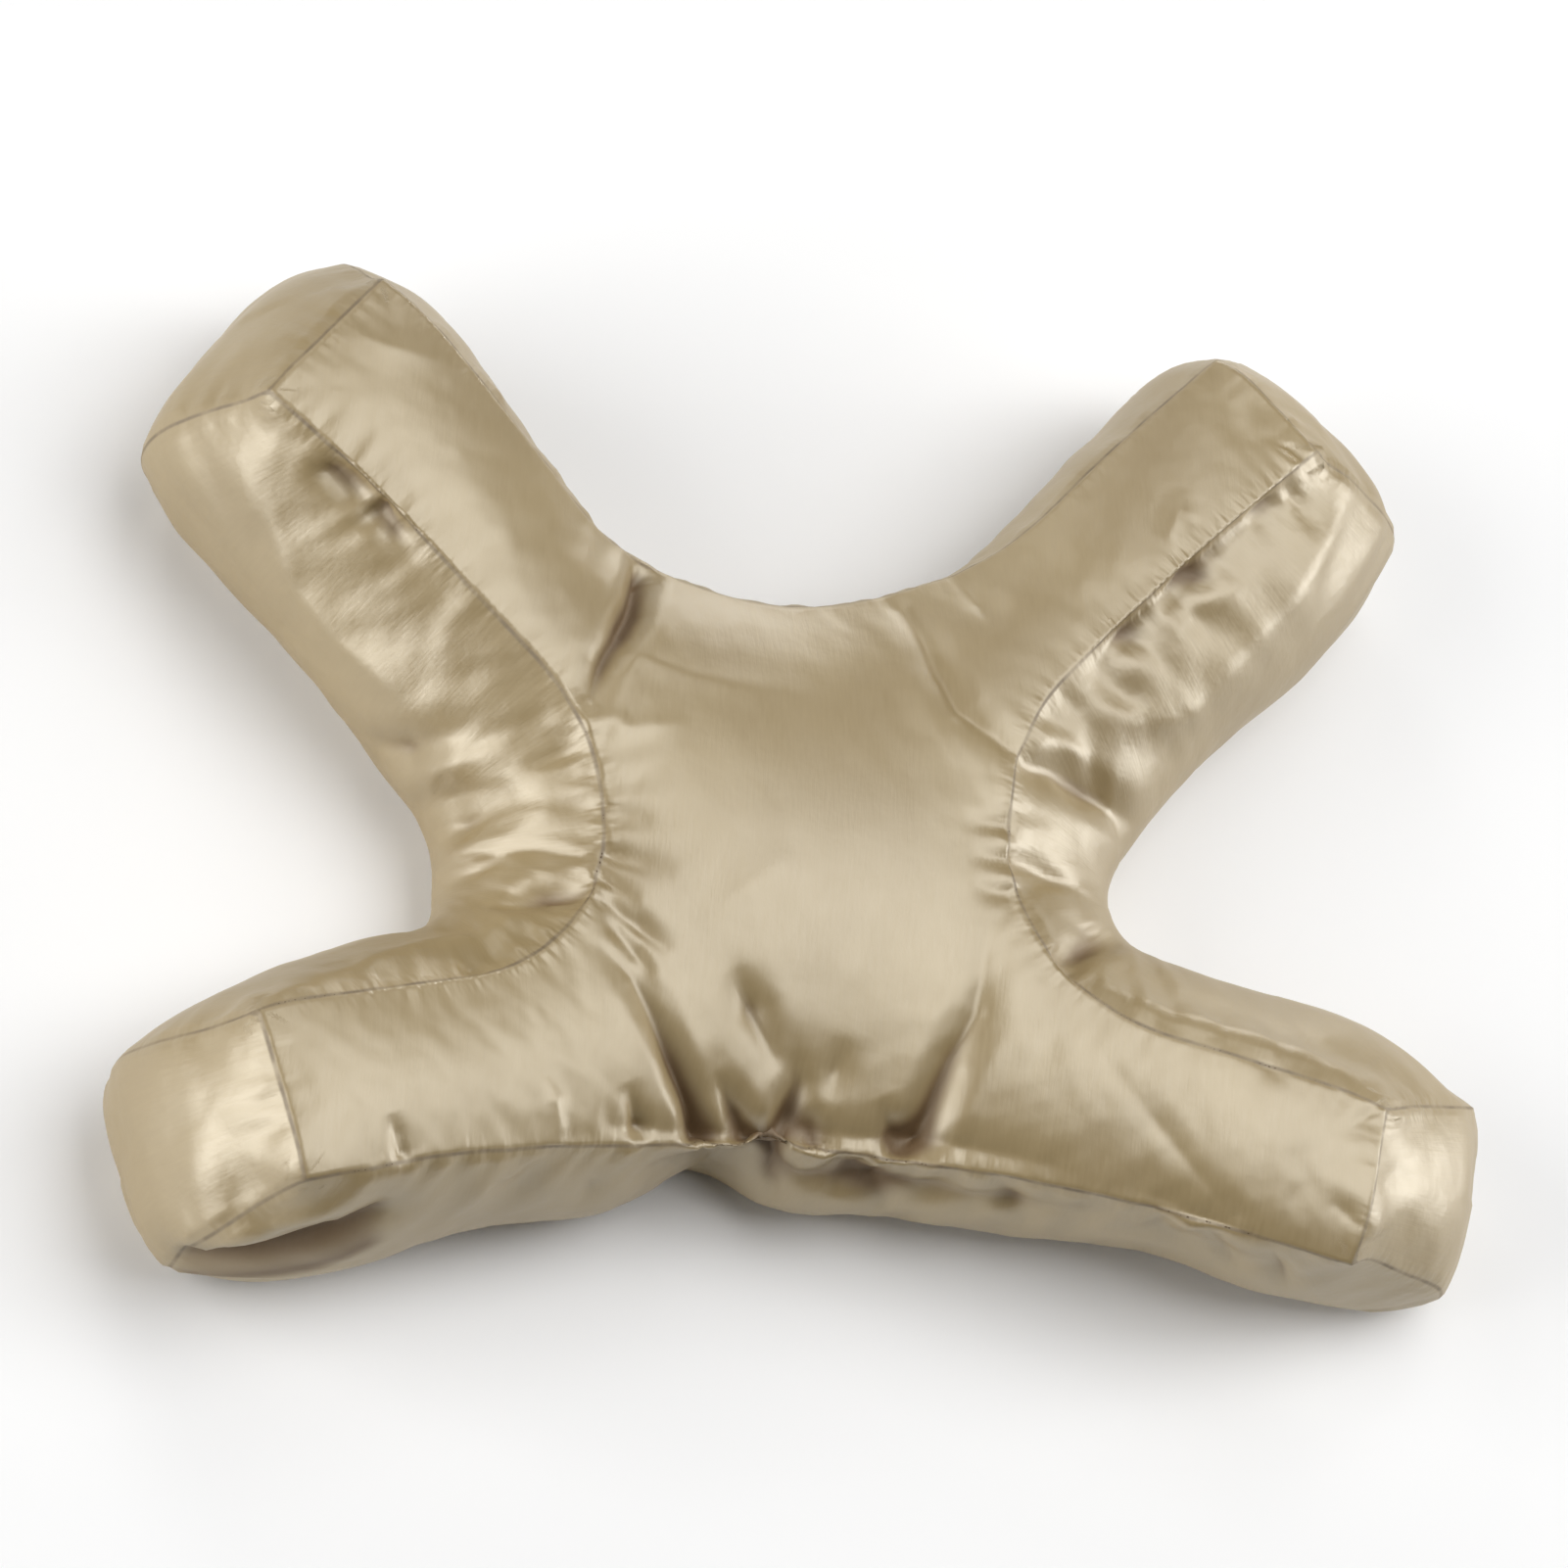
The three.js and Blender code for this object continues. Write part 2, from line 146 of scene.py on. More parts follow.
# Folds, in a table for each panel that carries them, and one for those that run across the seam. A row has
# the fold's name, its half width, its depth at the start, middle and end of its line (negative for a ridge),
# and that line.
FRONT_FOLDS = (
    ("upper left root", 4, (9, 12, 4), ((-62, 76, 66), (-66, 59, 73), (-77, 32, 81), (-80, 20, 81))),
    ("upper right root", 5, (2, 4, 2), ((36, 84, 63), (43, 59, 77), (50, 41, 83), (68, 28, 83))),
    ("upper right arm", 5, (1, 2, 0), ((54, 102, 63), (61, 86, 73), (65, 74, 80))),
    ("lower left root", 4, (1, 7, 12),
     ((-69, -69, 83), (-58, -77, 80), (-38, -103, 69), (-32, -110, 65), (-25, -120, 61))),
    ("lower left second", 4, (1, 7, 10), ((-26, -100, 69), (-17, -109, 63), (-6, -117, 57))),
    ("lower left short", 3, (0, 3, 5), ((-56, -112, 77), (-49, -123, 70))),
    ("dimple", 5, (1, 6, 3), ((-24, -66, 81), (-17, -78, 78), (-6, -92, 74))),
    ("beside the pinch", 4, (0, 4, 7), ((10, -104, 66), (15, -120, 61))),
    ("dab", 5, (0, 3, 1), ((19, -82, 74), (16, -104, 68))),
    ("lower right root", 5, (1, 6, 11), ((62, -50, 84), (61, -69, 81), (55, -83, 74), (48, -110, 63))),
    ("near the lower right root", 4, (0, 4, 6), ((33, -98, 68), (42, -114, 63))),
    ("bottom roll, left", 4, (1, 2, 3), ((-60, -126, 73), (-40, -122, 67), (-10, -116, 58))),
    ("bottom roll, right", 5, (3, 3, 0),
     ((8, -113, 62), (30, -112, 62), (50, -110, 63), (70, -111, 68), (92, -113, 71), (108, -117, 73))),
    ("bottom roll, far right", 6, (0, 4, 1),
     ((118, -119, 75), (136, -123, 76), (157, -129, 76), (181, -133, 72))),
    ("lower right long", 3, (0, 0.8, 0.8), ((99, -72, 86), (132, -105, 84), (155, -124, 80))),
    ("lower right tick", 3, (1, 1.5, 1), ((158, -70, 90), (165, -76, 92))),
    ("upper right fork", 3, (0, -1.2, -1), ((128, 141, 92), (128, 132, 92), (125, 122, 92))),
    ("upper left soft", 5, (-0.5, -1.5, 0), ((-184, 129, 99), (-162, 126, 99), (-137, 127, 95))),
    ("left gather 1", 3, (3, 1.5, 0), ((-74, -20, 82), (-55, -22, 84))),
    ("left gather 2", 4, (3, 2, 0), ((-72, -36, 83), (-46, -38, 84))),
    ("left gather 3", 3, (3, 2, 0), ((-72, -44, 82), (-58, -51, 83))),
    ("left gather 4", 3, (2, 3, 0), ((-68, -53, 82), (-46, -66, 82))),
    ("left gather 5", 3, (2, 3, 0), ((-66, -61, 82), (-50, -75, 80))),
    ("left star", 4, (-2, -1.5, 0), ((-80, 8, 83), (-67, 15, 84))),
    ("left star, long", 3, (-1, -1, 0), ((-69, 9, 85), (-45, 17, 84))),
    ("right gather 1", 3, (0, 1.5, 3), ((50, -4, 87), (68, 0, 86))),
    ("right gather 2", 3, (0, 1.5, 3), ((53, -14, 86), (69, -13, 86))),
    ("right gather 3", 3, (0, 1.5, 2), ((56, -25, 86), (71, -25, 86))),
    ("lower left tick", 3, (0, 2, 3), ((-137, -143, 98), (-131, -154, 95))),
    ("lower left light", 3, (0, -1.5, -1), ((-86, -117, 86), (-78, -132, 80))),
    ("across the chest", 5, (-1, -1, 0), ((-70, 38, 81), (-44, 36, 81), (7, 38, 80))),
    ("chest diagonal", 6, (0, -1.2, 0), ((-37, -56, 83), (-8, -24, 87))),
    ("lower right cap wrinkle", 3, (1, 1.5, 1), ((189, -118, 89), (196, -123, 88))),
)
WALL_FOLDS = (
    ("bottom lip", 2.5, (-1.5, -2, -1), ((6, -118, 60), (30, -117, 61), (50, -115, 62), (68, -116, 65))),
    ("left wall, valley", 6, (0, 6.5, 0), ((-140, 7, 12), (-140, 9, 32), (-133, 6, 46), (-112, 10, 70))),
    ("left wall, ridge", 7, (0, -3, 0), ((-134, 2, 32), (-118, -1, 56), (-96, 4, 73))),
    ("left wall, short", 3, (0, 2, 2), ((-98, -7, 68), (-84, 2, 79))),
    ("left wall, line 1", 4, (0, 4.5, 0), ((-124, -5, 22), (-113, -9, 51), (-100, -8, 65))),
    ("left wall, line 2", 4, (0, 5, 0), ((-119, -14, 20), (-108, -18, 48), (-92, -15, 67))),
    ("left wall, facet", 8, (0, -2, -1), ((-97, -20, 60), (-80, -12, 79))),
    ("left wall, ridge 2", 4, (0, -2, 0), ((-115, -31, 26), (-108, -27, 45), (-91, -22, 66))),
    ("left wall, line 3", 4, (0, 4, 0), ((-114, -36, 26), (-104, -35, 52), (-88, -30, 70))),
    ("left wall, bean", 4, (0, 8, 4), ((-101, -55, 60), (-87, -50, 68), (-73, -48, 79))),
    ("right wall, light", 6, (-2, -3, 0), ((73, 34, 82), (88, 38, 76), (104, 39, 69))),
    ("right wall, long", 5, (4, 7, 0), ((72, 25, 82), (87, 28, 75), (102, 28, 68), (134, 30, 44))),
    ("right wall, second", 4, (3, 3, 0), ((70, -12, 86), (83, -11, 77), (106, -8, 61))),
    ("right wall, third", 5, (0, 3, 0), ((87, -26, 76), (104, -24, 65), (122, -18, 53))),
    ("right wall, fourth", 5, (5, 8, 2), ((88, -52, 82), (93, -44, 79), (102, -35, 72), (126, -16, 50))),
    ("upper right trough", 9, (3, 5, 3),
     ((176, 153, 92), (159, 139, 93), (142, 117, 89), (124, 98, 88), (106, 76, 85))),
    ("upper right swell", 10, (-2, -4, -2),
     ((197, 165, 80), (189, 142, 79), (176, 116, 74), (159, 91, 69), (143, 68, 65))),
    ("upper right wedge 1", 4, (6, 6, 0), ((126, 108, 92), (150, 109, 83))),
    ("upper right wedge 2", 4, (7, 6, 0), ((104, 83, 88), (122, 83, 83))),
    ("upper right wedge 3", 4, (5, 5, 0), ((152, 142, 95), (168, 144, 92))),
    ("upper right ridge", 3, (0, -3, 0), ((116, 83, 85), (136, 100, 85), (165, 120, 81))),
    ("upper right hollow", 4, (0, 3, 0), ((108, 60, 78), (126, 65, 73))),
    ("upper right curve", 5, (0, -3, 0), ((87, 46, 83), (106, 55, 77), (135, 63, 67), (150, 76, 64))),
    ("upper left trough", 9, (1, 3.5, 0),
     ((-179, 82, 93), (-161, 69, 90), (-143, 56, 88), (-126, 40, 83))),
    ("upper left swell", 9, (0, -4, 0),
     ((-214, 100, 78), (-192, 72, 70), (-178, 52, 57), (-159, 35, 55), (-136, 17, 61), (-116, 6, 66))),
    ("upper left gather", 4, (6, 5, 0), ((-176, 80, 93), (-161, 73, 92))),
    ("upper left gather 2", 4, (5, 4, 0), ((-160, 68, 92), (-148, 58, 89))),
    ("lower left shoulder", 8, (-2, -4, -2),
     ((-174, -110, 97), (-149, -90, 87), (-122, -72, 77), (-97, -61, 77))),
    ("lower right shoulder", 8, (-2, -4, -2),
     ((91, -44, 79), (115, -54, 84), (142, -61, 87), (173, -67, 90), (202, -70, 89))),
    ("lower left tuck", 6, (-3, -5, -2),
     ((-188, -181, 50), (-176, -179, 64), (-161, -176, 78), (-148, -170, 87), (-140, -160, 96))),
    ("lower left hollow", 7, (7, 12, 6),
     ((-184, -183, 43), (-170, -182, 53), (-157, -180, 62), (-143, -175, 69), (-132, -168, 75))),
    ("lower left underside", 11, (1, 2, 1),
     ((-182, -184, 26), (-165, -184, 36), (-148, -180, 45), (-132, -173, 58))),
    ("bottom diagonal 1", 4, (-1, -3, 0), ((-95, -143, 83), (-108, -160, 56))),
    ("bottom diagonal 2", 5, (1, 3, 0), ((-78, -137, 78), (-92, -156, 40))),
    ("bottom streak", 3, (0, 3, 0), ((-57, -136, 63), (-60, -146, 42))),
    ("bottom wall pinch", 5, (5, 5, 0), ((0, -118, 50), (3, -125, 39), (10, -130, 22))),
    ("bottom band", 6, (3, 6, 1), ((25, -120, 56), (38, -122, 49), (50, -126, 32))),
    ("bottom trough", 9, (3, 7, 3), ((-40, -128, 52), (10, -122, 45), (60, -122, 50), (110, -124, 58))),
    ("bottom streak right", 4, (1, 3, 0), ((76, -118, 65), (88, -123, 53), (100, -125, 42))),
    ("bottom diagonal right", 4, (1, 3, 0), ((128, -123, 74), (147, -125, 54))),
    ("bottom diagonal right 2", 3, (1, 3, 0), ((150, -127, 75), (172, -128, 48))),
    ("bottom diagonal right 3", 3, (1, 3, 0), ((174, -131, 73), (192, -130, 45))),
    ("lower right cap tick", 4, (1, 2, 0), ((206, -100, 91), (227, -102, 74))),
)
SEAM_FOLDS = (
    ("pinch", 5, (1, 8, 13), ((2, -88, 74), (4, -99, 68), (3, -109, 63), (-1, -118, 56))),
)

# Folds that get more painted shade than their depth gives, because they turn away from the light, and by how
# many mm.
FOLD_SHADES = {
    "lower left underside": 6.5,
    "bottom diagonal right 2": 3,
    "bottom diagonal right 3": 3,
}

# A fold's profile: how round its line is, how fast it rises to the sides, the height, place and width of the
# low bank beside it, in shares of the fold's depth and width, and the share of its depth that is pressed in.
FOLD_CORE = 1.7
FOLD_STEEPNESS = 1.2
FOLD_BANK = 0.08
FOLD_BANK_AT = 1.9
FOLD_BANK_WIDTH = 0.9
FOLD_PRESS = 0.85

# Gathers along the seams: their pitch, the distance in which they fade, where they start, how long they are
# on the front panel and on the walls, how far they lean on the walls, their height on both, and places in
# plan where they are higher.
GATHER_PITCH = 6.0
GATHER_REACH = 9.0
GATHER_START = 2.0
GATHER_LENGTH_FRONT = 40
GATHER_LENGTH_WALL = 30
GATHER_SLANT = 0.25
GATHER_FRONT = 0.4
GATHER_WALL = 1.6
GATHERS = (
    dict(name="left waist", at=(-76, -30), reach=34, front=1.0, wall=2.0),
    dict(name="right waist", at=(72, -8), reach=34, front=1.0, wall=1.0),
    dict(name="bottom seam", at=(5, -118), reach=80, front=1.4, wall=2.0),
    dict(name="upper right seam", at=(112, 90), reach=45, front=0.3, wall=2.0),
    dict(name="upper right corner", at=(176, 160), reach=16, front=2.0, wall=5.0),
    dict(name="lower left top seam", at=(-130, -90), reach=55, front=0.3, wall=3.0),
    dict(name="upper left seam", at=(-165, 76), reach=40, front=0.6, wall=2.2),
    dict(name="upper left cap seam", at=(-185, 130), reach=30, front=1.5, wall=1.0),
    dict(name="lower right corner", at=(200, -82), reach=18, front=2.0, wall=3.6),
    dict(name="right waist, low", at=(88, -52), reach=22, front=0.3, wall=4.0),
)

# Drag lines down the walls: height, pitch along the seam, how far they lean, length, and reach down the
# wall.
DRAG_HEIGHT = 1.8
DRAG_PITCH = 17.0
DRAG_SLANT = 0.35
DRAG_LENGTH = 60
DRAG_REACH = 55.0

# Soft lumps of the stuffing under the walls: height, pitch, the distance from the front seam at which they
# are at their full height, and the smaller lumps' share of the height and number to each lump.
LUMP_HEIGHT = 0.6
LUMP_PITCH = 38
LUMP_START = 15
SMALL_LUMP_HEIGHT = 0.4
SMALL_LUMPS = 2.5

# Where each kind of streak and lump is taken from the noise, and how unevenly that place steps sideways.
FRONT_GATHER_SEED = 3
WALL_GATHER_SEED = 8
DRAG_SEED = 12
LUMP_SEED = 5
SMALL_LUMP_SEED = 9
SEED_STEP = 2.3

# Cloth simulation: quality, mass, stiffness, pressure, steps, the most that a point may move, how much
# fuller the panels are cut than the form they cover, the share that the walls have more where they are
# gathered, and how many times the swelling is evened out before it is taken off again.
CLOTH_QUALITY = 6
CLOTH_MASS = 0.005
CLOTH_STIFFNESS = 20
CLOTH_SHEAR = 5
CLOTH_BENDING = 0.05
CLOTH_PRESSURE = 4.0
CLOTH_FRAMES = 20
CLOTH_MOST_MOVE = 8.0
FRONT_FULLNESS = 0.002
WALL_FULLNESS = 0.0025
CAP_FULLNESS = 0.002
GATHER_FULLNESS = 0.007
MOST_FULLNESS = 0.04
EVEN_PASSES = 30

# The seam line itself: its groove's depth and width, how far apart the runs are kept along the noise, and
# the crease that keeps the panels' edges sharp.
SEAM_GROOVE = 0.8
SEAM_GROOVE_WIDTH = 1.0
RUN_APART = 100.0
SEAM_CREASE = 1.0

# Stitches along the seams: pitch, length, thickness, the length of the straight middle, how much of the
# thickness the middle and the ends have, how far the ends dip into the cloth, how far a stitch stands out of
# the groove, the number of its sides, how straight a face looks along it to be its end, and the height above
# the floor where the stitches stop.
STITCH_PITCH = 3.4
STITCH_LENGTH = 2.5
STITCH_THICKNESS = 0.5
STITCH_STRAIGHT = 0.6 * STITCH_LENGTH
STITCH_MIDDLE = 0.9 * STITCH_THICKNESS
STITCH_END = 0.35 * STITCH_THICKNESS
STITCH_DIP = 0.45 * STITCH_THICKNESS
STITCH_RISE = -0.25
STITCH_SIDES = 5
END_FACING = 0.5
STITCH_LOWEST = 12.0

# Satin: its two tones, the tint of its gloss, the colour of the painted shade in a deep fold and in the seam
# line, the roughness and how much a fold adds to it, gloss and sheen. A fold's painted shade has the depth
# where it starts, the depth where it is full, and its share there. The seam line's painted shade has its
# core, width and strength, the least share of that shade, and how often it changes per metre.
SATIN_LIGHT = (0.32, 0.237, 0.115, 1)
SATIN_DARK = (0.27, 0.195, 0.091, 1)
SATIN_GLOSS = (1.0, 0.95, 0.83, 1)
FOLD_PAINTED_SHADE_COLOUR = (0.10, 0.042, 0.0, 1)
SEAM_PAINTED_SHADE_COLOUR = (0.09, 0.053, 0.02, 1)
SATIN_ROUGHNESS = 0.41
FOLD_ROUGHNESS = 0.3
SATIN_IOR = 2.3
SATIN_SHEEN = 0.15
SATIN_SHEEN_ROUGHNESS = 0.3
FOLD_SHADE_FROM = 3.0
FOLD_SHADE_DEPTH = 8.5
FOLD_SHADE = 0.95
SEAM_LINE_CORE = 0.2
SEAM_LINE_WIDTH = 1.2
SEAM_LINE_SHADE = 0.8
SEAM_LINE_LEAST = 0.45
SEAM_CHANGES = 130

# How much the threads count in the satin's tone, how far noise spreads the tones of satin and of thread and
# the strength of the seam line's painted shade, and how much threads and crinkles roughen the satin.
THREAD_TONE = 0.35
SATIN_SPREAD = 0.3
SEAM_SPREAD = 0.2
THREADS_ROUGHEN = 0.10
CRINKLES_ROUGHEN = 0.08

# Thread of the stitches: its two tones, how often they change per metre, roughness and gloss.
THREAD_DARK = (0.07, 0.042, 0.018, 1)
THREAD_LIGHT = (0.11, 0.07, 0.032, 1)
THREAD_CHANGES = 400
THREAD_ROUGHNESS = 0.7
THREAD_IOR = 1.3

# Satin's surface: threads, dye patches and crinkles per metre, and the heights of threads, crinkles and
# puckers. Puckers run out from the seams, with their own pitch, length and reach. They wander with the dye,
# fade towards the ends of a seam, and are higher near the places of the gathers.
THREADS_ACROSS = 900
THREADS_ALONG = 110
THREAD_HEIGHT = 0.05
DYE_PATCHES = 14
CRINKLES = 75
CRINKLE_FRONT = 0.2
CRINKLE_WALL = 0.45
PUCKER_PITCH = 3.4
PUCKER_WANDER = 9.0
PUCKER_LENGTH = 12.0
PUCKER_REACH = 9.0
PUCKER_HEIGHT = 1.2
PUCKER_END = 14.0
PUCKER_LEAST = 1.0
PUCKER_ZONE = 4.0

# Camera fitted to the photo: place in mm, looking direction and up direction, focal length in mm on a
# 36 mm sensor.
CAMERA_AT = (-426.9, -649.3, 1361.5)
CAMERA_LOOK = (0.2683, 0.4246, -0.8647)
CAMERA_UP = (-0.1776, 0.9040, 0.3888)
CAMERA_LENS = 101.2
SENSOR_WIDTH = 36.0

# Floor: size in metres, colour and roughness.
FLOOR_SIZE = 8.0
FLOOR_COLOUR = (0.9, 0.9, 0.9, 1)
FLOOR_ROUGHNESS = 0.9

# Studio lights, all at one distance in metres: direction in degrees, width and height in metres, and power
# in watts. The world adds a little light from everywhere.
LIGHT_DISTANCE = 2.0
WORLD_COLOUR = (1, 1, 1, 1)
WORLD_STRENGTH = 0.02
SOFTBOXES = (
    dict(name="key softbox", azimuth=8, elevation=74, width=1.5, height=1.5, power=25),
    dict(name="right softbox", azimuth=14, elevation=41, width=0.7, height=0.7, power=6.5),
    dict(name="left softbox", azimuth=189, elevation=26, width=1.4, height=1.4, power=25),
    dict(name="low left softbox", azimuth=207, elevation=9, width=0.9, height=0.9, power=10),
    dict(name="low right softbox", azimuth=6, elevation=11, width=0.8, height=0.8, power=15),
    dict(name="high back softbox", azimuth=88, elevation=59, width=0.8, height=0.8, power=4.5),
    dict(name="upper back softbox", azimuth=116, elevation=28, width=0.6, height=0.6, power=3),
    dict(name="low back strip", azimuth=74, elevation=3, width=1.2, height=0.12, power=8),
)


def mix(a, b, share):
    return a + (b - a) * share


def ease(share):
    return share * share * (3 - 2 * share)


def arm_direction(arm):
    turn = math.radians(arm["angle"])
    return np.array((math.cos(turn), math.sin(turn)))


def arm_edge(arm, side):
    along = arm_direction(arm)
    out = np.array((-along[1], along[0])) * side
    start = out * arm["width"] / 2 + (0, arm["root_y"])
    return start, along, out


def cross_2d(a, b):
    return a[0] * b[1] - a[1] * b[0]


def valley_corner(valley, arm, next_arm):
    start, along, _ = arm_edge(arm, 1)
    next_start, next_along, _ = arm_edge(next_arm, -1)
    reach = cross_2d(next_start - start, next_along) / cross_2d(along, next_along)
    tip = start + along * reach
    bisector = along + next_along
    bisector = bisector / np.linalg.norm(bisector)
    half_angle = math.acos(along @ bisector)
    centre = tip + bisector * valley["radius"] / math.sin(half_angle)
    arc = valley["radius"] * (math.pi / 2 - half_angle)
    tangent = valley["radius"] / math.tan(half_angle)
    return dict(tip=tip, bisector=bisector, centre=centre, arc=arc, tangent=tangent)


CORNERS = [valley_corner(VALLEYS[i], ARMS[i], ARMS[(i + 1) % len(ARMS)]) for i in range(len(ARMS))]


def seam_length(valley_index, arm, side):
    corner = CORNERS[valley_index]
    start, along, _ = arm_edge(arm, side)
    return corner["arc"] + arm["length"] - (corner["tip"] - start) @ along - corner["tangent"]


def seam_point(valley_index, arm, side, share):
    valley = VALLEYS[valley_index]
    corner = CORNERS[valley_index]
    _, along, out = arm_edge(arm, side)
    travel = share * seam_length(valley_index, arm, side)
    if travel < corner["arc"]:
        turn = side * travel / valley["radius"]
        inward = -corner["bisector"]
        spoke = np.array((inward[0] * math.cos(turn) - inward[1] * math.sin(turn),
                          inward[0] * math.sin(turn) + inward[1] * math.cos(turn)))
        return corner["centre"] + spoke * valley["radius"], -spoke
    return corner["tip"] + along * (corner["tangent"] + travel - corner["arc"]), out


def wall_point(valley_index, arm, side, share, depth):
    valley = VALLEYS[valley_index]
    point, out = seam_point(valley_index, arm, side, share)
    arm_flare = arm["flare_left"] if side > 0 else arm["flare_right"]
    flare = mix(valley["flare"], arm_flare, ease(share))
    swell = math.sin(math.pi / 2 * min(depth / WIDEST_AT, 1))
    tuck = FOOT_TUCK * max((depth - WIDEST_AT) / (1 - WIDEST_AT), 0) ** 2
    cap_reach = (arm["flare_cap"] * swell - tuck) * share ** CAP_REACH_POWER
    plan = point + out * (flare * swell - tuck) + arm_direction(arm) * cap_reach
    height = mix(valley["height"], arm["height"], ease(share))
    return np.array((plan[0], plan[1], height * (1 - depth)))


class Cover:
    """The sewn cover: welded vertices, quads, the panel of each quad and the cloth's own coordinates."""

    def __init__(self):
        self.points = []
        self.quads = []
        self.panels = []
        self.cloth = []
        self.stitched = {}

    def stitch(self, point):
        key = tuple(np.round(point, WELD_DECIMALS) + 0.0)
        if key not in self.stitched:
            self.stitched[key] = len(self.points)
            self.points.append(point)
        return self.stitched[key]

    def sew_panel(self, panel, rows, columns, point_at, cloth_at):
        grid = [[self.stitch(point_at(r, c)) for c in columns] for r in rows]
        flat = [[cloth_at(r, c) for c in columns] for r in rows]
        for r in range(len(rows) - 1):
            for c in range(len(columns) - 1):
                corners = ((r, c), (r + 1, c), (r + 1, c + 1), (r, c + 1))
                self.quads.append([grid[i][j] for i, j in corners])
                self.cloth.append([flat[i][j] for i, j in corners])
                self.panels.append(panel)


def middle_point(u, v, depth):
    top, left, bottom, right = (wall_point(index, arm, 1, 0, depth) for index, arm in enumerate(ARMS))
    return mix(mix(top, left, u), mix(right, bottom, u), v)


def sew_cover():
    across = [i / CELLS_ACROSS for i in range(CELLS_ACROSS + 1)]
    along = [i / CELLS_ALONG for i in range(CELLS_ALONG + 1)]
    deep = [i / CELLS_DEEP for i in range(CELLS_DEEP + 1)]
    cover = Cover()
    cover.sew_panel(FRONT, across, across, lambda u, v: middle_point(u, v, 0),
                    lambda u, v: middle_point(u, v, 0)[:2])
    cover.sew_panel(BACK, across, across, lambda v, u: middle_point(u, v, 1),
                    lambda v, u: middle_point(u, v, 1)[:2])
    for index, arm in enumerate(ARMS):
        before = (index - 1) % len(ARMS)

        def right(share, depth):
            return wall_point(before, arm, -1, share, depth)

        def left(share, depth):
            return wall_point(index, arm, 1, share, depth)

        def between(share, depth, u):
            return mix(right(share, depth), left(share, depth), u)

        left_run = seam_length(index, arm, 1)
        right_run = seam_length(before, arm, -1)
        deep_run = arm["height"]
        cover.sew_panel(FRONT, along, across, lambda s, u: between(s, 0, u),
                        lambda s, u: between(s, 0, u)[:2])
        cover.sew_panel(BACK, across, along, lambda u, s: between(s, 1, u),
                        lambda u, s: between(s, 1, u)[:2])
        cover.sew_panel(WALL + index, along, deep, left,
                        lambda s, d: (s * left_run, d * deep_run))
        cover.sew_panel(WALL + before, deep, along, lambda d, s: right(s, d),
                        lambda d, s: (-s * right_run, d * deep_run))
        cover.sew_panel(CAP + index, deep, across, lambda d, u: between(1, d, u),
                        lambda d, u: (u * arm["width"], d * deep_run))
    cover.points = np.array(cover.points)
    cover.quads = np.array(cover.quads)
    return cover


def thread_sets(quads, points):
    """The sides and diagonals of the quads, in sets in which no two threads share a vertex."""
    pairs = {}
    for a, b, c, d in quads.tolist():
        for start, end in ((a, b), (b, c), (c, d), (d, a), (a, c), (b, d)):
            pairs[(min(start, end), max(start, end))] = True
    used = [0] * len(points)
    sets = {}
    for a, b in pairs:
        taken = used[a] | used[b]
        number = 0
        while taken >> number & 1:
            number += 1
        used[a] |= 1 << number
        used[b] |= 1 << number
        sets.setdefault(number, []).append((a, b))
    threads = []
    for number in sorted(sets):
        ends = np.array(sets[number])
        threads.append((ends[:, 0], ends[:, 1],
                        np.linalg.norm(points[ends[:, 1]] - points[ends[:, 0]], axis=1)))
    return threads


def vertex_normals(points, quads):
    faces = np.cross(points[quads[:, 2]] - points[quads[:, 0]], points[quads[:, 3]] - points[quads[:, 1]])
    normals = np.zeros_like(points)
    for corner in range(4):
        np.add.at(normals, quads[:, corner], faces)
    return normals / np.maximum(np.linalg.norm(normals, axis=1, keepdims=True), TINY)


def neighbour_means(points, quads):
    sums = np.zeros_like(points)
    counts = np.zeros((len(points), 1))
    for corner in range(4):
        here = quads[:, corner]
        np.add.at(sums, here, points[quads[:, (corner + 1) % 4]])
        np.add.at(counts, here, 1)
    return sums / counts


def fill_cover(cover):
    points = cover.points.copy()
    threads = thread_sets(cover.quads, points)
    for step in range(FILL_STEPS):
        push = mix(FIRST_PUSH, LAST_PUSH, step / FILL_STEPS)
        points += vertex_normals(points, cover.quads) * push
        points[:, 2] -= WEIGHT_DROP
        points += (neighbour_means(points, cover.quads) - points) * EVENING
        for turn in range(STRETCH_PASSES):
            for a, b, length in (threads[::-1] if turn % 2 else threads):
                pull = points[b] - points[a]
                now = np.linalg.norm(pull, axis=1)
                pull *= (np.maximum(now - length, 0) / now / 2)[:, None]
                points[a] += pull
                points[b] -= pull
            np.maximum(points[:, 2], 0, out=points[:, 2])
    points[points[:, 2] < CONTACT_HEIGHT, 2] = 0
    return points


def cover_mesh(cover, points, name):
    """The cover as a mesh: seams creased, the panel of each face, and the cloth's own coordinates."""
    mesh = bpy.data.meshes.new(name)
    mesh.from_pydata((points * MM).tolist(), [], cover.quads.tolist())
    panel = mesh.attributes.new("panel", "INT", "FACE")
    panel.data.foreach_set("value", cover.panels)
    edge_panels = {}
    for quad, number in zip(cover.quads.tolist(), cover.panels):
        for corner in range(4):
            pair = tuple(sorted((quad[corner], quad[(corner + 1) % 4])))
            edge_panels.setdefault(pair, set()).add(number)
    crease = mesh.attributes.new("crease_edge", "FLOAT", "EDGE")
    crease.data.foreach_set("value", [
        SEAM_CREASE if len(edge_panels[tuple(sorted(edge.vertices))]) > 1 else 0.0 for edge in mesh.edges])
    uv = mesh.uv_layers.new(name="cloth")
    uv.data.foreach_set("uv", (np.array(cover.cloth).reshape(-1) * MM).tolist())
    return mesh


